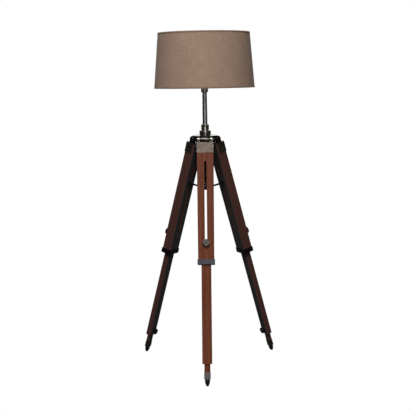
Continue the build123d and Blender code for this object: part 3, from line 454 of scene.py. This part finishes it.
@dataclass(frozen=True)
class AgedMetal:
    """Plated or turned metal, brushed and left to tarnish.

    The plating is a smoky grey-brown. It reflects in soft streaks along its brushing, and dull
    patches of tarnish gather where hands do not rub it. The hinge ears of a leg's cap, which reach
    down to polish_level below the hinge, were polished and oiled, so they have small bright
    highlights.
    """

    name: str
    bright: str
    tarnish: str
    roughness: float = 0.26
    patch_mm: float = 14.0
    brush_mm: float = 0.5
    brush_stretch: tuple[float, float, float] = (1.0, 1.0, 0.08)
    brush_depth_mm: float = 0.05
    tarnished: float = 0.55
    polish_level: float = 17.0 * MM
    polished: str = "#8a8682"
    polished_roughness: float = 0.10
    relief: float = 0.10

    def make(self, leg: Leg | None = None) -> bpy.types.Material:
        """Make the metal.

        Args:
            leg: The leg that the piece is on, if its ears are polished.

        Returns:
            The material.
        """
        material, tree = new_material(f"{self.name} {leg.word}" if leg else self.name)
        place = add_node(tree, "TexCoord").outputs["Object"]
        patch = add_node(
            tree,
            "TexNoise",
            {"Vector": place, "Scale": 1 / (self.patch_mm * MM), "Detail": 5.0, "Roughness": 0.6},
        ).outputs[0]
        brushed = add_node(tree, "Mapping", {"Vector": place, "Scale": self.brush_stretch}).outputs[0]
        lines = add_node(
            tree, "TexNoise", {"Vector": brushed, "Scale": 1 / (self.brush_mm * MM), "Detail": 2.0}
        ).outputs[0]
        dull = add_node(
            tree, "MapRange", {"Value": patch, "From Min": 0.40, "From Max": 0.72, "To Max": self.tarnished}
        ).outputs[0]
        colour = add_node(
            tree, "Mix", {0: dull, 6: hex_linear(self.bright), 7: hex_linear(self.tarnish)}, data_type="RGBA"
        ).outputs[2]
        rough = add_node(
            tree,
            "MapRange",
            {
                "Value": patch,
                "From Min": 0.35,
                "From Max": 0.75,
                "To Min": self.roughness,
                "To Max": self.roughness + 0.10,
            },
        ).outputs[0]
        rough = add_node(tree, "Math", {0: lines, 1: 0.08, 2: rough}, operation="MULTIPLY_ADD").outputs[0]
        if leg:
            level = add_node(tree, "SeparateXYZ", {"Vector": leg_space(tree, leg)}).outputs["Z"]
            ears = add_node(
                tree,
                "MapRange",
                {"Value": level, "From Min": -self.polish_level - MM, "From Max": -self.polish_level + MM},
            ).outputs[0]
            colour = add_node(
                tree, "Mix", {0: ears, 6: colour, 7: hex_linear(self.polished)}, data_type="RGBA"
            ).outputs[2]
            rough = add_node(tree, "Mix", {0: ears, 2: rough, 3: self.polished_roughness}).outputs[0]
        depth = self.brush_depth_mm * MM
        bump = add_node(tree, "Bump", {"Height": lines, "Strength": self.relief, "Distance": depth})
        shader = add_node(
            tree,
            "BsdfPrincipled",
            {"Base Color": colour, "Metallic": 1.0, "Roughness": rough, "Normal": bump.outputs[0]},
        )
        add_node(tree, "OutputMaterial", {"Surface": shader.outputs[0]})
        return material


@dataclass(frozen=True)
class DarkSkin:
    """Black enamel, rubber or thermoset: a dark skin with a fine pebble and dust in its hollows."""

    name: str
    colour: str
    dust: str
    roughness: float
    pebble_mm: float = 0.8
    relief_mm: float = 0.06
    cloud_mm: float = 16.667
    ior: float = 1.5

    def make(self) -> bpy.types.Material:
        """Make the dark skin.

        Returns:
            The material.
        """
        material, tree = new_material(self.name)
        place = add_node(tree, "TexCoord").outputs["Object"]
        pebble = add_node(
            tree, "TexNoise", {"Vector": place, "Scale": 1 / (self.pebble_mm * MM), "Detail": 3.0}
        ).outputs[0]
        cloud = add_node(
            tree, "TexNoise", {"Vector": place, "Scale": 1 / (self.cloud_mm * MM), "Detail": 4.0}
        ).outputs[0]
        dusty = add_node(
            tree, "MapRange", {"Value": cloud, "From Min": 0.45, "From Max": 0.75, "To Max": 0.5}
        ).outputs[0]
        colour = add_node(
            tree, "Mix", {0: dusty, 6: hex_linear(self.colour), 7: hex_linear(self.dust)}, data_type="RGBA"
        ).outputs[2]
        rough = add_node(
            tree,
            "MapRange",
            {
                "Value": cloud,
                "From Min": 0.3,
                "From Max": 0.7,
                "To Min": self.roughness,
                "To Max": self.roughness + 0.12,
            },
        ).outputs[0]
        bump = add_node(tree, "Bump", {"Height": pebble, "Strength": 0.3, "Distance": self.relief_mm * MM})
        shader = add_node(
            tree,
            "BsdfPrincipled",
            {"Base Color": colour, "Roughness": rough, "Normal": bump.outputs[0], "IOR": self.ior},
        )
        add_node(tree, "OutputMaterial", {"Surface": shader.outputs[0]})
        return material


@dataclass(frozen=True)
class ShadeLinen:
    """Plain-woven natural linen, laminated to a stiff lining.

    Flax yarn is uneven, so the eye sees thick slubs that run along both sets of threads, over a
    fine basket of light and dark. Real threads are about 0.6 mm apart. They are drawn at 1.6 mm,
    because finer ones would not show at arm's length from the whole lamp.
    """

    name: str
    pale: str
    deep: str
    thread_mm: float = 1.6
    slub_mm: float = 38.0
    cloud_mm: float = 111.11
    relief_mm: float = 0.22

    def make(self, weave: Weave) -> bpy.types.Material:
        """Make the linen, in a cut that starts at its own thread.

        Args:
            weave: How the strip is cut.

        Returns:
            The material.
        """
        material, tree = new_material(f"{self.name} {weave.name.lower()}")
        cloth = add_node(tree, "UVMap", uv_map="cloth").outputs[0]
        start = (weave.value, weave.value, 0.0)
        shifted = add_node(tree, "Mapping", {"Vector": cloth, "Location": start}).outputs[0]
        pitch = 1 / (self.thread_mm * MM)
        axes = add_node(tree, "SeparateXYZ", {"Vector": shifted}).outputs
        warp = self._threads(tree, axes["X"], axes["Y"], pitch)
        weft = self._threads(tree, axes["Y"], axes["X"], pitch)
        slub_pitch = 1 / (self.slub_mm * MM)
        warp_slub = self._slubs(tree, shifted, (pitch, slub_pitch, 1.0))
        weft_slub = self._slubs(tree, shifted, (slub_pitch, pitch, 1.0))
        cover = add_node(tree, "Math", {0: warp, 1: weft}, operation="MAXIMUM").outputs[0]
        slub = add_node(tree, "Math", {0: warp_slub, 1: weft_slub}, operation="ADD").outputs[0]
        tone = add_node(tree, "Math", {0: slub, 1: 0.34, 2: 0.02}, operation="MULTIPLY_ADD").outputs[0]
        tone = add_node(tree, "Math", {0: cover, 1: 0.30, 2: tone}, operation="MULTIPLY_ADD").outputs[0]
        cloud = add_node(
            tree, "TexNoise", {"Vector": shifted, "Scale": 1 / (self.cloud_mm * MM), "Detail": 3.0}
        ).outputs[0]
        tone = add_node(tree, "Math", {0: cloud, 1: 0.22, 2: tone}, operation="MULTIPLY_ADD").outputs[0]
        colour = add_node(
            tree, "Mix", {0: tone, 6: hex_linear(self.deep), 7: hex_linear(self.pale)}, data_type="RGBA"
        ).outputs[2]
        height = add_node(tree, "Math", {0: slub, 1: 0.6, 2: cover}, operation="MULTIPLY_ADD").outputs[0]
        bump = add_node(tree, "Bump", {"Height": height, "Strength": 0.6, "Distance": self.relief_mm * MM})
        shader = add_node(
            tree,
            "BsdfPrincipled",
            {
                "Base Color": colour,
                "Roughness": 0.86,
                "Normal": bump.outputs[0],
                "IOR": 1.45,
                "Specular IOR Level": 0.2,
                "Sheen Weight": 0.12,
                "Sheen Roughness": 0.5,
            },
        )
        add_node(tree, "OutputMaterial", {"Surface": shader.outputs[0]})
        return material

    def _threads(
        self,
        tree: bpy.types.NodeTree,
        across: bpy.types.NodeSocket,
        along: bpy.types.NodeSocket,
        pitch: float,
    ) -> bpy.types.NodeSocket:
        """Draw one set of threads, each over and under its neighbours in turn.

        Args:
            tree: Node tree of the linen.
            across: Socket of the distance across the threads.
            along: Socket of the distance along them.
            pitch: Threads to the metre.

        Returns:
            Socket of the height of the set, from 0 to 1.
        """
        turn = add_node(tree, "Math", {0: across, 1: math.pi * pitch}, operation="MULTIPLY").outputs[0]
        round_top = add_node(tree, "Math", {0: turn}, operation="SINE").outputs[0]
        phase = {0: along, 1: math.pi * pitch, 2: math.pi / 2}
        over = add_node(tree, "Math", phase, operation="MULTIPLY_ADD")
        wave = add_node(tree, "Math", {0: over.outputs[0]}, operation="SINE").outputs[0]
        product = add_node(tree, "Math", {0: round_top, 1: wave}, operation="MULTIPLY").outputs[0]
        return add_node(tree, "Math", {0: product, 1: 0.5, 2: 0.5}, operation="MULTIPLY_ADD").outputs[0]

    def _slubs(
        self, tree: bpy.types.NodeTree, cloth: bpy.types.NodeSocket, scale: tuple[float, float, float]
    ) -> bpy.types.NodeSocket:
        """Draw the thick stretches of one set of yarns.

        Args:
            tree: Node tree of the linen.
            cloth: Socket of the cloth's coordinates.
            scale: Yarns to the metre across, and slubs to the metre along.

        Returns:
            Socket of the slubs, from 0 to 1.
        """
        drawn = add_node(tree, "Mapping", {"Vector": cloth, "Scale": scale}).outputs[0]
        yarn = add_node(tree, "TexNoise", {"Vector": drawn, "Scale": 0.8, "Detail": 2.0}).outputs[0]
        return add_node(tree, "MapRange", {"Value": yarn, "From Min": 0.30, "From Max": 0.74}).outputs[0]


@dataclass(frozen=True)
class PaleSkin:
    """Powder-coated wire or laminate film: pale and matt, with faint cloudy soiling."""

    name: str
    colour: str
    soil: str
    roughness: float
    grain_mm: float = 0.5
    relief_mm: float = 0.05
    cloud_mm: float = 71.43

    def make(self) -> bpy.types.Material:
        """Make the pale skin.

        Returns:
            The material.
        """
        material, tree = new_material(self.name)
        place = add_node(tree, "TexCoord").outputs["Object"]
        grain = add_node(tree, "TexNoise", {"Vector": place, "Scale": 1 / (self.grain_mm * MM)}).outputs[0]
        cloud = add_node(
            tree, "TexNoise", {"Vector": place, "Scale": 1 / (self.cloud_mm * MM), "Detail": 4.0}
        ).outputs[0]
        soiled = add_node(
            tree, "MapRange", {"Value": cloud, "From Min": 0.4, "From Max": 0.75, "To Max": 0.35}
        ).outputs[0]
        colour = add_node(
            tree, "Mix", {0: soiled, 6: hex_linear(self.colour), 7: hex_linear(self.soil)}, data_type="RGBA"
        ).outputs[2]
        bump = add_node(tree, "Bump", {"Height": grain, "Strength": 0.15, "Distance": self.relief_mm * MM})
        shader = add_node(
            tree,
            "BsdfPrincipled",
            {"Base Color": colour, "Roughness": self.roughness, "Normal": bump.outputs[0], "IOR": 1.5},
        )
        add_node(tree, "OutputMaterial", {"Surface": shader.outputs[0]})
        return material


@dataclass(frozen=True)
class OpalGlass:
    """Blown bulb glass with an opal inside coat, which turns the bulb to a soft milky white."""

    name: str = "opal coated blown glass"
    colour: str = "#f1ede2"
    clouded: str = "#d9d3c4"
    cloud_mm: float = 22.22

    def make(self) -> bpy.types.Material:
        """Make the opal glass.

        Returns:
            The material.
        """
        material, tree = new_material(self.name)
        place = add_node(tree, "TexCoord").outputs["Object"]
        coat = add_node(
            tree, "TexNoise", {"Vector": place, "Scale": 1 / (self.cloud_mm * MM), "Detail": 3.0}
        ).outputs[0]
        colour = add_node(
            tree, "Mix", {0: coat, 6: hex_linear(self.colour), 7: hex_linear(self.clouded)}, data_type="RGBA"
        ).outputs[2]
        shader = add_node(
            tree,
            "BsdfPrincipled",
            {
                "Base Color": colour,
                "Roughness": 0.12,
                "IOR": 1.5,
                "Subsurface Weight": 0.4,
                "Subsurface Radius": (0.01, 0.01, 0.01),
            },
        )
        add_node(tree, "OutputMaterial", {"Surface": shader.outputs[0]})
        return material


def dress(node: str, material: bpy.types.Material, edge_mm: float = 0.0) -> None:
    """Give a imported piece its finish, and ease its sharp edges so that they catch the light.

    Args:
        node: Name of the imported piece.
        material: Its finish.
        edge_mm: Width of the eased edge, or 0 for none.
    """
    piece = frame["nodes"][node]
    piece.data.materials.clear()
    piece.data.materials.append(material)
    if edge_mm:
        weld = piece.modifiers.new("weld", "WELD")
        weld.merge_threshold = WELD_REACH
        bevel = piece.modifiers.new("eased edges", "BEVEL")
        bevel.width = edge_mm * MM
        bevel.segments = 2
        bevel.limit_method = "ANGLE"
        bevel.angle_limit = SHARP_ANGLE
        bevel.harden_normals = False
    LOG.info("dressed %s in %s", node, material.name)


@dataclass
class TripodLeg:
    """One leg: three wooden stages with their metal fittings, hinge and brace."""

    leg: Leg
    stages: tuple[str, str, str] = ("upper_leg", "middle_leg", "foot_leg")
    plate_edge_mm: float = 0.4
    fitting_edge_mm: float = 0.25
    enamel_edge_mm: float = 0.35

    def build(
        self,
        plating: AgedMetal,
        band: bpy.types.Material,
        sleeve: bpy.types.Material,
        fitting: bpy.types.Material,
        brass: bpy.types.Material,
    ) -> None:
        """Dress the leg's pieces.

        Args:
            plating: Finish of the cap, with polished ears.
            band: Finish of the band.
            sleeve: Finish of the ferrule.
            fitting: Finish of the knobs, bolts and screws.
            brass: Finish of the hidden insert.
        """
        self._dress_wood()
        word = self.leg.word
        dress(f"leg_cap_{word}", plating.make(self.leg), self.plate_edge_mm)
        dress(f"leg_band_{word}", band, self.plate_edge_mm)
        dress(f"ferrule_{word}", sleeve, self.fitting_edge_mm)
        for piece in ("cap_screws", "hinge_bolt", "clamp_knob", "foot_knob"):
            dress(f"{piece}_{word}", fitting, self.fitting_edge_mm)
        dress(f"clamp_insert_{word}", brass)

    def _dress_wood(self) -> None:
        """Give each wooden stage a board of its own."""
        for stage in self.stages:
            wood = StainedWood(*board_size(f"{stage}_{Leg.FRONT.word}"))
            board = wood.make(f"stained satin-lacquered hardwood {stage} {self.leg.word}", self.leg)
            dress(f"{stage}_{self.leg.word}", board)

    def build_dark_parts(self, enamel: bpy.types.Material, rubber: bpy.types.Material) -> None:
        """Dress the brace link, its bracket and the foot's tip.

        Args:
            enamel: Finish of the link and its bracket.
            rubber: Finish of the tip.
        """
        dress(f"link_bracket_{self.leg.word}", enamel, self.enamel_edge_mm)
        dress(f"spreader_link_{self.leg.word}", enamel, self.enamel_edge_mm)
        dress(f"foot_tip_{self.leg.word}", rubber)


@dataclass
class HubAndPole:
    """The casting, collar, pole and brace rod in the middle of the tripod."""

    cast_edge_mm: float = 0.4
    turned_edge_mm: float = 0.3
    small_edge_mm: float = 0.2

    def build(
        self,
        casting: bpy.types.Material,
        collar: bpy.types.Material,
        pole: bpy.types.Material,
        fitting: bpy.types.Material,
    ) -> None:
        """Dress the metal pieces of the hub.

        Args:
            casting: Finish of the hub casting.
            collar: Finish of the turned collar.
            pole: Finish of the pole and the lamp holder's cup.
            fitting: Finish of the rod and its small parts.
        """
        dress("hub_casting", casting, self.cast_edge_mm)
        dress("pole_collar", collar, self.turned_edge_mm)
        for piece in ("pole", "holder_cup"):
            dress(piece, pole, self.turned_edge_mm)
        for piece in ("collar_set_screw", "centre_rod", "spreader_collar", "link_pins", "rod_nut"):
            dress(piece, fitting, self.small_edge_mm)


@dataclass
class LampHolder:
    """Holder, shade ring and bulb inside the shade."""

    moulded_edge_mm: float = 0.4
    bush_edge_mm: float = 0.3

    def build(
        self,
        thermoset: bpy.types.Material,
        brass: bpy.types.Material,
        cap: bpy.types.Material,
        rubber: bpy.types.Material,
    ) -> None:
        """Dress the holder and the bulb.

        Args:
            thermoset: Finish of the holder and its ring.
            brass: Finish of the centre contact.
            cap: Finish of the bulb's screw cap.
            rubber: Finish of the cord's inlet bush.
        """
        dress("holder_body", thermoset, self.moulded_edge_mm)
        dress("shade_ring", thermoset, self.moulded_edge_mm)
        dress("holder_contact", brass)
        dress("bulb_cap", cap)
        dress("bulb_glass", OpalGlass().make())
        dress("cord_bush", rubber, self.bush_edge_mm)


@dataclass
class DrumShade:
    """Linen drum shade: the cloth, its two bound rims and the lapped seam at the back."""

    segments: int = 240
    rows: int = 48
    cloth_thickness: float = 0.9 * MM
    cloth_inset: float = 0.05 * MM
    rim_height: float = 7.0 * MM
    rim_proud: float = 0.55 * MM
    rim_depth: float = 2.3 * MM
    rim_crown: float = 0.7 * MM
    rim_tail: float = 2.0 * MM
    rim_fold_steps: int = 6
    tape_outer: float = 0.5 * MM
    tape_inner: float = 0.3 * MM
    hem_thickness: float = 0.45 * MM
    hem_slope: tuple[float, float] = (0.2 * MM, 0.3 * MM)
    seam_width: float = 12.0 * MM
    seam_proud: float = 0.35 * MM
    seam_sunk: float = 0.1 * MM
    seam_steps: int = 4
    ripple: float = 0.18 * MM

    def __post_init__(self) -> None:
        """Take the drum's size from its stand-in."""
        low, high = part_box("shade_fabric")
        verts = frame["nodes"]["shade_fabric"].data.vertices
        self.bottom = low.z
        self.top = high.z
        self.centre = centre_line()
        self.bottom_radius = high.x - self.centre.x
        top_verts = [vert for vert in verts if vert.co.z > high.z - MM]
        self.top_radius = max((vert.co - self.centre).xy.length for vert in top_verts)

    def radius(self, height: float) -> float:
        """Outside radius of the cloth at a height."""
        share = (height - self.bottom) / (self.top - self.bottom)
        return self.bottom_radius + share * (self.top_radius - self.bottom_radius)

    def build(self) -> None:
        """Make the cloth, rims and seam, and stand them on the shade's body."""
        linen = ShadeLinen("plain-woven natural linen", "#bda08d", "#7d604b")
        binding = ShadeLinen("bias-cut linen binding", "#a68a77", "#684f3e")
        cloth = self._cloth(linen.make(Weave.UPRIGHT))
        tape = binding.make(Weave.ALONG)
        rims = [
            self._rim("shade_rim_top", self.top, -1, tape),
            self._rim("shade_rim_bottom", self.bottom, 1, tape),
        ]
        seam = self._seam(linen.make(Weave.ALONG))
        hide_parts("shade_fabric")
        for piece in (cloth, *rims, seam):
            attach(piece, "shade")
            LOG.info("made %s", piece.name)
        dress("shade_liner", PaleSkin("laminate shade lining", "#e9e0cf", "#cfc2aa", 0.55).make())
        dress("shade_frame", PaleSkin("powder-coated wire", "#e4e0d8", "#bdb6aa", 0.5).make())

    def _grid(
        self, name: str, profile: list[tuple[float, float]], turns: tuple[float, float], steps: int
    ) -> bpy.types.Object:
        """Sweep a closed profile round the drum.

        Args:
            name: Name of the piece.
            profile: Radius and height of each point of the closed profile, in order.
            turns: First and last angle, in radians; a full turn closes on itself.
            steps: Number of steps round.

        Returns:
            The piece, with its cloth coordinates in metres.
        """
        closed = abs(turns[1] - turns[0] - 2 * math.pi) < 1e-6
        mesh = bmesh.new()
        cloth_map = mesh.loops.layers.uv.new("cloth")
        rows = []
        for step in range(steps if closed else steps + 1):
            angle = turns[0] + (turns[1] - turns[0]) * step / steps
            # Five slow waves and thirteen quicker ones go round the drum.
            flutter = self.ripple * (math.sin(5 * angle + 0.6) + 0.6 * math.sin(13 * angle)) / 2
            outward = Vector((math.cos(angle), math.sin(angle), 0.0))
            spots = [self.centre + (r + flutter) * outward + Vector((0.0, 0.0, z)) for r, z in profile]
            rows.append([mesh.verts.new(spot) for spot in spots])
        count = len(profile)
        for step in range(steps):
            here, there = rows[step], rows[(step + 1) % len(rows)]
            for index in range(count):
                after = (index + 1) % count
                face = mesh.faces.new((here[index], there[index], there[after], here[after]))
                face.smooth = True
                for loop, (turn, spot) in zip(face.loops, ((0, index), (1, index), (1, after), (0, after))):
                    angle = turns[0] + (turns[1] - turns[0]) * (step + turn) / steps
                    loop[cloth_map].uv = (angle * self.bottom_radius, profile[spot][1])
        if not closed:
            mesh.faces.new(list(reversed(rows[0])))
            mesh.faces.new(rows[-1])
        bmesh.ops.recalc_face_normals(mesh, faces=mesh.faces)
        data = bpy.data.meshes.new(name)
        mesh.to_mesh(data)
        mesh.free()
        piece = bpy.data.objects.new(name, data)
        bpy.context.scene.collection.objects.link(piece)
        data.set_sharp_from_angle(angle=SHARP_ANGLE)
        return piece

    def _cloth(self, material: bpy.types.Material) -> bpy.types.Object:
        """Make the drum of cloth.

        Args:
            material: Its linen.

        Returns:
            The cloth.
        """
        heights = [self.bottom + (self.top - self.bottom) * row / self.rows for row in range(self.rows + 1)]
        outside = [(self.radius(height) - self.cloth_inset, height) for height in heights]
        inside = [(self.radius(height) - self.cloth_thickness, height) for height in reversed(heights)]
        piece = self._grid("shade_linen", outside + inside, (0.0, 2 * math.pi), self.segments)
        piece.data.materials.append(material)
        return piece

    def _rim(self, name: str, edge: float, inward: int, material: bpy.types.Material) -> bpy.types.Object:
        """Make the tape that is folded over a rim of the drum.

        Args:
            name: Name of the piece.
            edge: Height of the rim.
            inward: 1 if the drum lies above the rim, and -1 if it lies below.
            material: Its linen.

        Returns:
            The tape.
        """
        outer = self.radius(edge) + self.rim_proud
        inner = self.radius(edge) - self.rim_depth
        middle = (outer + inner) / 2
        half = (outer - inner) / 2
        hem = edge + inward * self.rim_height
        hem_radius = self.radius(hem) + self.rim_proud
        under, over = self.hem_slope
        profile = [
            (hem_radius - self.hem_thickness, hem + inward * under),
            (hem_radius, hem - inward * over),
        ]
        for step in range(self.rim_fold_steps + 1):
            angle = math.pi * step / self.rim_fold_steps
            rise = self.rim_crown * math.sin(angle)
            profile.append((middle + half * math.cos(angle), edge - inward * rise))
        tail = edge + inward * self.rim_tail
        profile += [(inner, tail), (inner + self.tape_inner, tail)]
        profile += [(inner + self.tape_inner, edge), (outer - self.tape_outer, edge)]
        if inward < 0:
            profile.reverse()
        piece = self._grid(name, profile, (0.0, 2 * math.pi), self.segments)
        piece.data.materials.append(material)
        return piece

    def _seam(self, material: bpy.types.Material) -> bpy.types.Object:
        """Make the lapped edge of the cloth, down the back of the drum.

        Args:
            material: Its linen.

        Returns:
            The lap.
        """
        low = self.bottom + self.rim_height
        high = self.top - self.rim_height
        heights = [low + (high - low) * row / self.rows for row in range(self.rows + 1)]
        outside = [(self.radius(height) + self.seam_proud, height) for height in heights]
        inside = [(self.radius(height) - self.seam_sunk, height) for height in reversed(heights)]
        half = self.seam_width / self.bottom_radius / 2
        turns = (math.pi / 2 - half, math.pi / 2 + half)
        piece = self._grid("shade_seam", outside + inside, turns, self.seam_steps)
        piece.data.materials.append(material)
        return piece


@dataclass(frozen=True)
class Softbox:
    """A rectangular softbox that faces the middle of the lamp, placed from the centre line."""

    name: str
    place: tuple[float, float, float]
    size: tuple[float, float]
    watts: float
    aim_height: float = 0.85

    def hang(self) -> None:
        """Make the light and hang it."""
        light = bpy.data.lights.new(self.name, "AREA")
        light.shape = "RECTANGLE"
        light.size, light.size_y = self.size
        light.energy = self.watts
        lamp = bpy.data.objects.new(self.name, light)
        lamp.location = centre_line() + Vector(self.place)
        aim = Vector((0.0, 0.0, self.aim_height)) - Vector(self.place)
        lamp.rotation_euler = aim.to_track_quat("-Z", "Y").to_euler()
        bpy.context.scene.collection.objects.link(lamp)


@dataclass
class Studio:
    """White floor and backdrop, three softboxes and the camera."""

    softboxes: tuple[Softbox, ...] = (
        Softbox("key softbox", (-0.4, -3.4, 4.4), (2.2, 2.2), 150.0),
        Softbox("front fill", (0.7, -4.6, 1.9), (1.2, 2.8), 32.0),
        Softbox("back panel", (0.2, 3.2, 2.3), (3.0, 1.5), 30.0),
    )
    camera_reach: float = 4.2880
    camera_side: float = 0.0781
    camera_height: float = 1.3455
    look_left: float = 0.940
    look_down: float = 8.105
    roll: float = 0.864
    focal_length: float = 80.87
    sensor_width: float = 36.0
    floor_half: float = 30.0
    white: str = "#ffffff"
    paper: str = "#595959"
    room: str = "#fff7e7"
    room_front: float = 0.04
    room_back: float = 0.25

    def build(self) -> None:
        """Set up the floor, world, lights and camera."""
        self._floor()
        self._world()
        for softbox in self.softboxes:
            softbox.hang()
        self._camera()

    def _floor(self) -> None:
        """Lay the floor, white to the camera and grey to everything it lights."""
        mesh = bpy.data.meshes.new("floor")
        half = self.floor_half
        corners = [(-half, -half, 0.0), (half, -half, 0.0), (half, half, 0.0), (-half, half, 0.0)]
        mesh.from_pydata(corners, [], [(0, 1, 2, 3)])
        floor = bpy.data.objects.new("floor", mesh)
        bpy.context.scene.collection.objects.link(floor)
        material, tree = new_material("seamless paper sweep")
        seen = add_node(tree, "LightPath").outputs["Is Camera Ray"]
        glow = add_node(tree, "Emission", {"Color": hex_linear(self.white), "Strength": 1.0})
        paper = add_node(tree, "BsdfDiffuse", {"Color": hex_linear(self.paper)})
        both = add_node(tree, "MixShader", {0: seen, 1: paper.outputs[0], 2: glow.outputs[0]})
        add_node(tree, "OutputMaterial", {"Surface": both.outputs[0]})
        mesh.materials.append(material)

    def _world(self) -> None:
        """Make the backdrop white to the camera, dim in front of the lamp and paler behind it."""
        world = bpy.data.worlds.new("studio")
        bpy.context.scene.world = world
        world.use_nodes = True
        tree = world.node_tree
        tree.nodes.clear()
        seen = add_node(tree, "LightPath").outputs["Is Camera Ray"]
        white = add_node(tree, "Background", {"Color": hex_linear(self.white), "Strength": 1.0})
        way = add_node(tree, "TexCoord").outputs["Generated"]
        back = add_node(tree, "SeparateXYZ", {"Vector": way}).outputs["Y"]
        strength = add_node(
            tree,
            "MapRange",
            {
                "Value": back,
                "From Min": 0.1,
                "From Max": 0.9,
                "To Min": self.room_front,
                "To Max": self.room_back,
            },
        ).outputs[0]
        dim = add_node(tree, "Background", {"Color": hex_linear(self.room), "Strength": strength})
        both = add_node(tree, "MixShader", {0: seen, 1: dim.outputs[0], 2: white.outputs[0]})
        add_node(tree, "OutputWorld", {"Surface": both.outputs[0]})
        bpy.context.scene.view_settings.view_transform = "Standard"

    def _camera(self) -> None:
        """Stand the camera in front of the lamp."""
        data = bpy.data.cameras.new("camera")
        data.lens = self.focal_length
        data.sensor_width = self.sensor_width
        camera = bpy.data.objects.new("camera", data)
        camera.location = centre_line() + Vector((self.camera_side, -self.camera_reach, self.camera_height))
        aim = Euler((math.radians(90 - self.look_down), 0.0, math.radians(self.look_left)))
        lean = Matrix.Rotation(math.radians(-self.roll), 4, "Z")
        camera.rotation_euler = (aim.to_matrix().to_4x4() @ lean).to_euler()
        bpy.context.scene.collection.objects.link(camera)
        bpy.context.scene.camera = camera


def main() -> None:
    """Build the studio and dress the lamp, one sub-assembly after another."""
    logging.basicConfig(level=logging.INFO, format="%(name)s: %(message)s")
    Studio().build()
    plating = AgedMetal("smoked nickel plate on folded steel", "#60564f", "#473e3a", 0.40)
    band = AgedMetal("smoked nickel plate on drawn band", "#4a4a4e", "#343336", 0.22).make()
    sleeve = AgedMetal("smoked nickel plate on turned ferrule", "#6c6461", "#524b48", 0.28).make()
    casting = AgedMetal("smoked nickel plate on casting", "#605b57", "#46423f", 0.20, relief=0.03)
    collar = AgedMetal("turned nickel plate on collar", "#bcb5ae", "#958e87", 0.20, relief=0.03)
    tube = AgedMetal("satin nickel tube", "#c2c4c9", "#a9aaaf", 0.34, 60.0, tarnished=0.4, relief=0.01)
    fitting = AgedMetal("knurled smoked nickel", "#6b6866", "#403c39", 0.10, 6.0, relief=0.03).make()
    brass = AgedMetal("turned brass", "#c9a45c", "#8a6a3a", 0.3, 6.0).make()
    cap = AgedMetal("rolled aluminium cap", "#d6d7d8", "#a9aaab", 0.3, 6.0, tarnished=0.2).make()
    enamel = DarkSkin("black stoved enamel", "#131314", "#2a2a2b", 0.32).make()
    rubber = DarkSkin("moulded black rubber", "#0a0a0b", "#17181a", 0.6, 1.1, 0.12).make()
    thermoset = DarkSkin("moulded black thermoset", "#17171a", "#2b2b2e", 0.38).make()
    for leg in Leg:
        tripod_leg = TripodLeg(leg)
        tripod_leg.build(plating, band, sleeve, fitting, brass)
        tripod_leg.build_dark_parts(enamel, rubber)
        LOG.info("built the %s leg", leg.word)
    HubAndPole().build(casting.make(), collar.make(), tube.make(), fitting)
    LampHolder().build(thermoset, brass, cap, rubber)
    DrumShade().build()


if __name__ == "__main__":
    main()
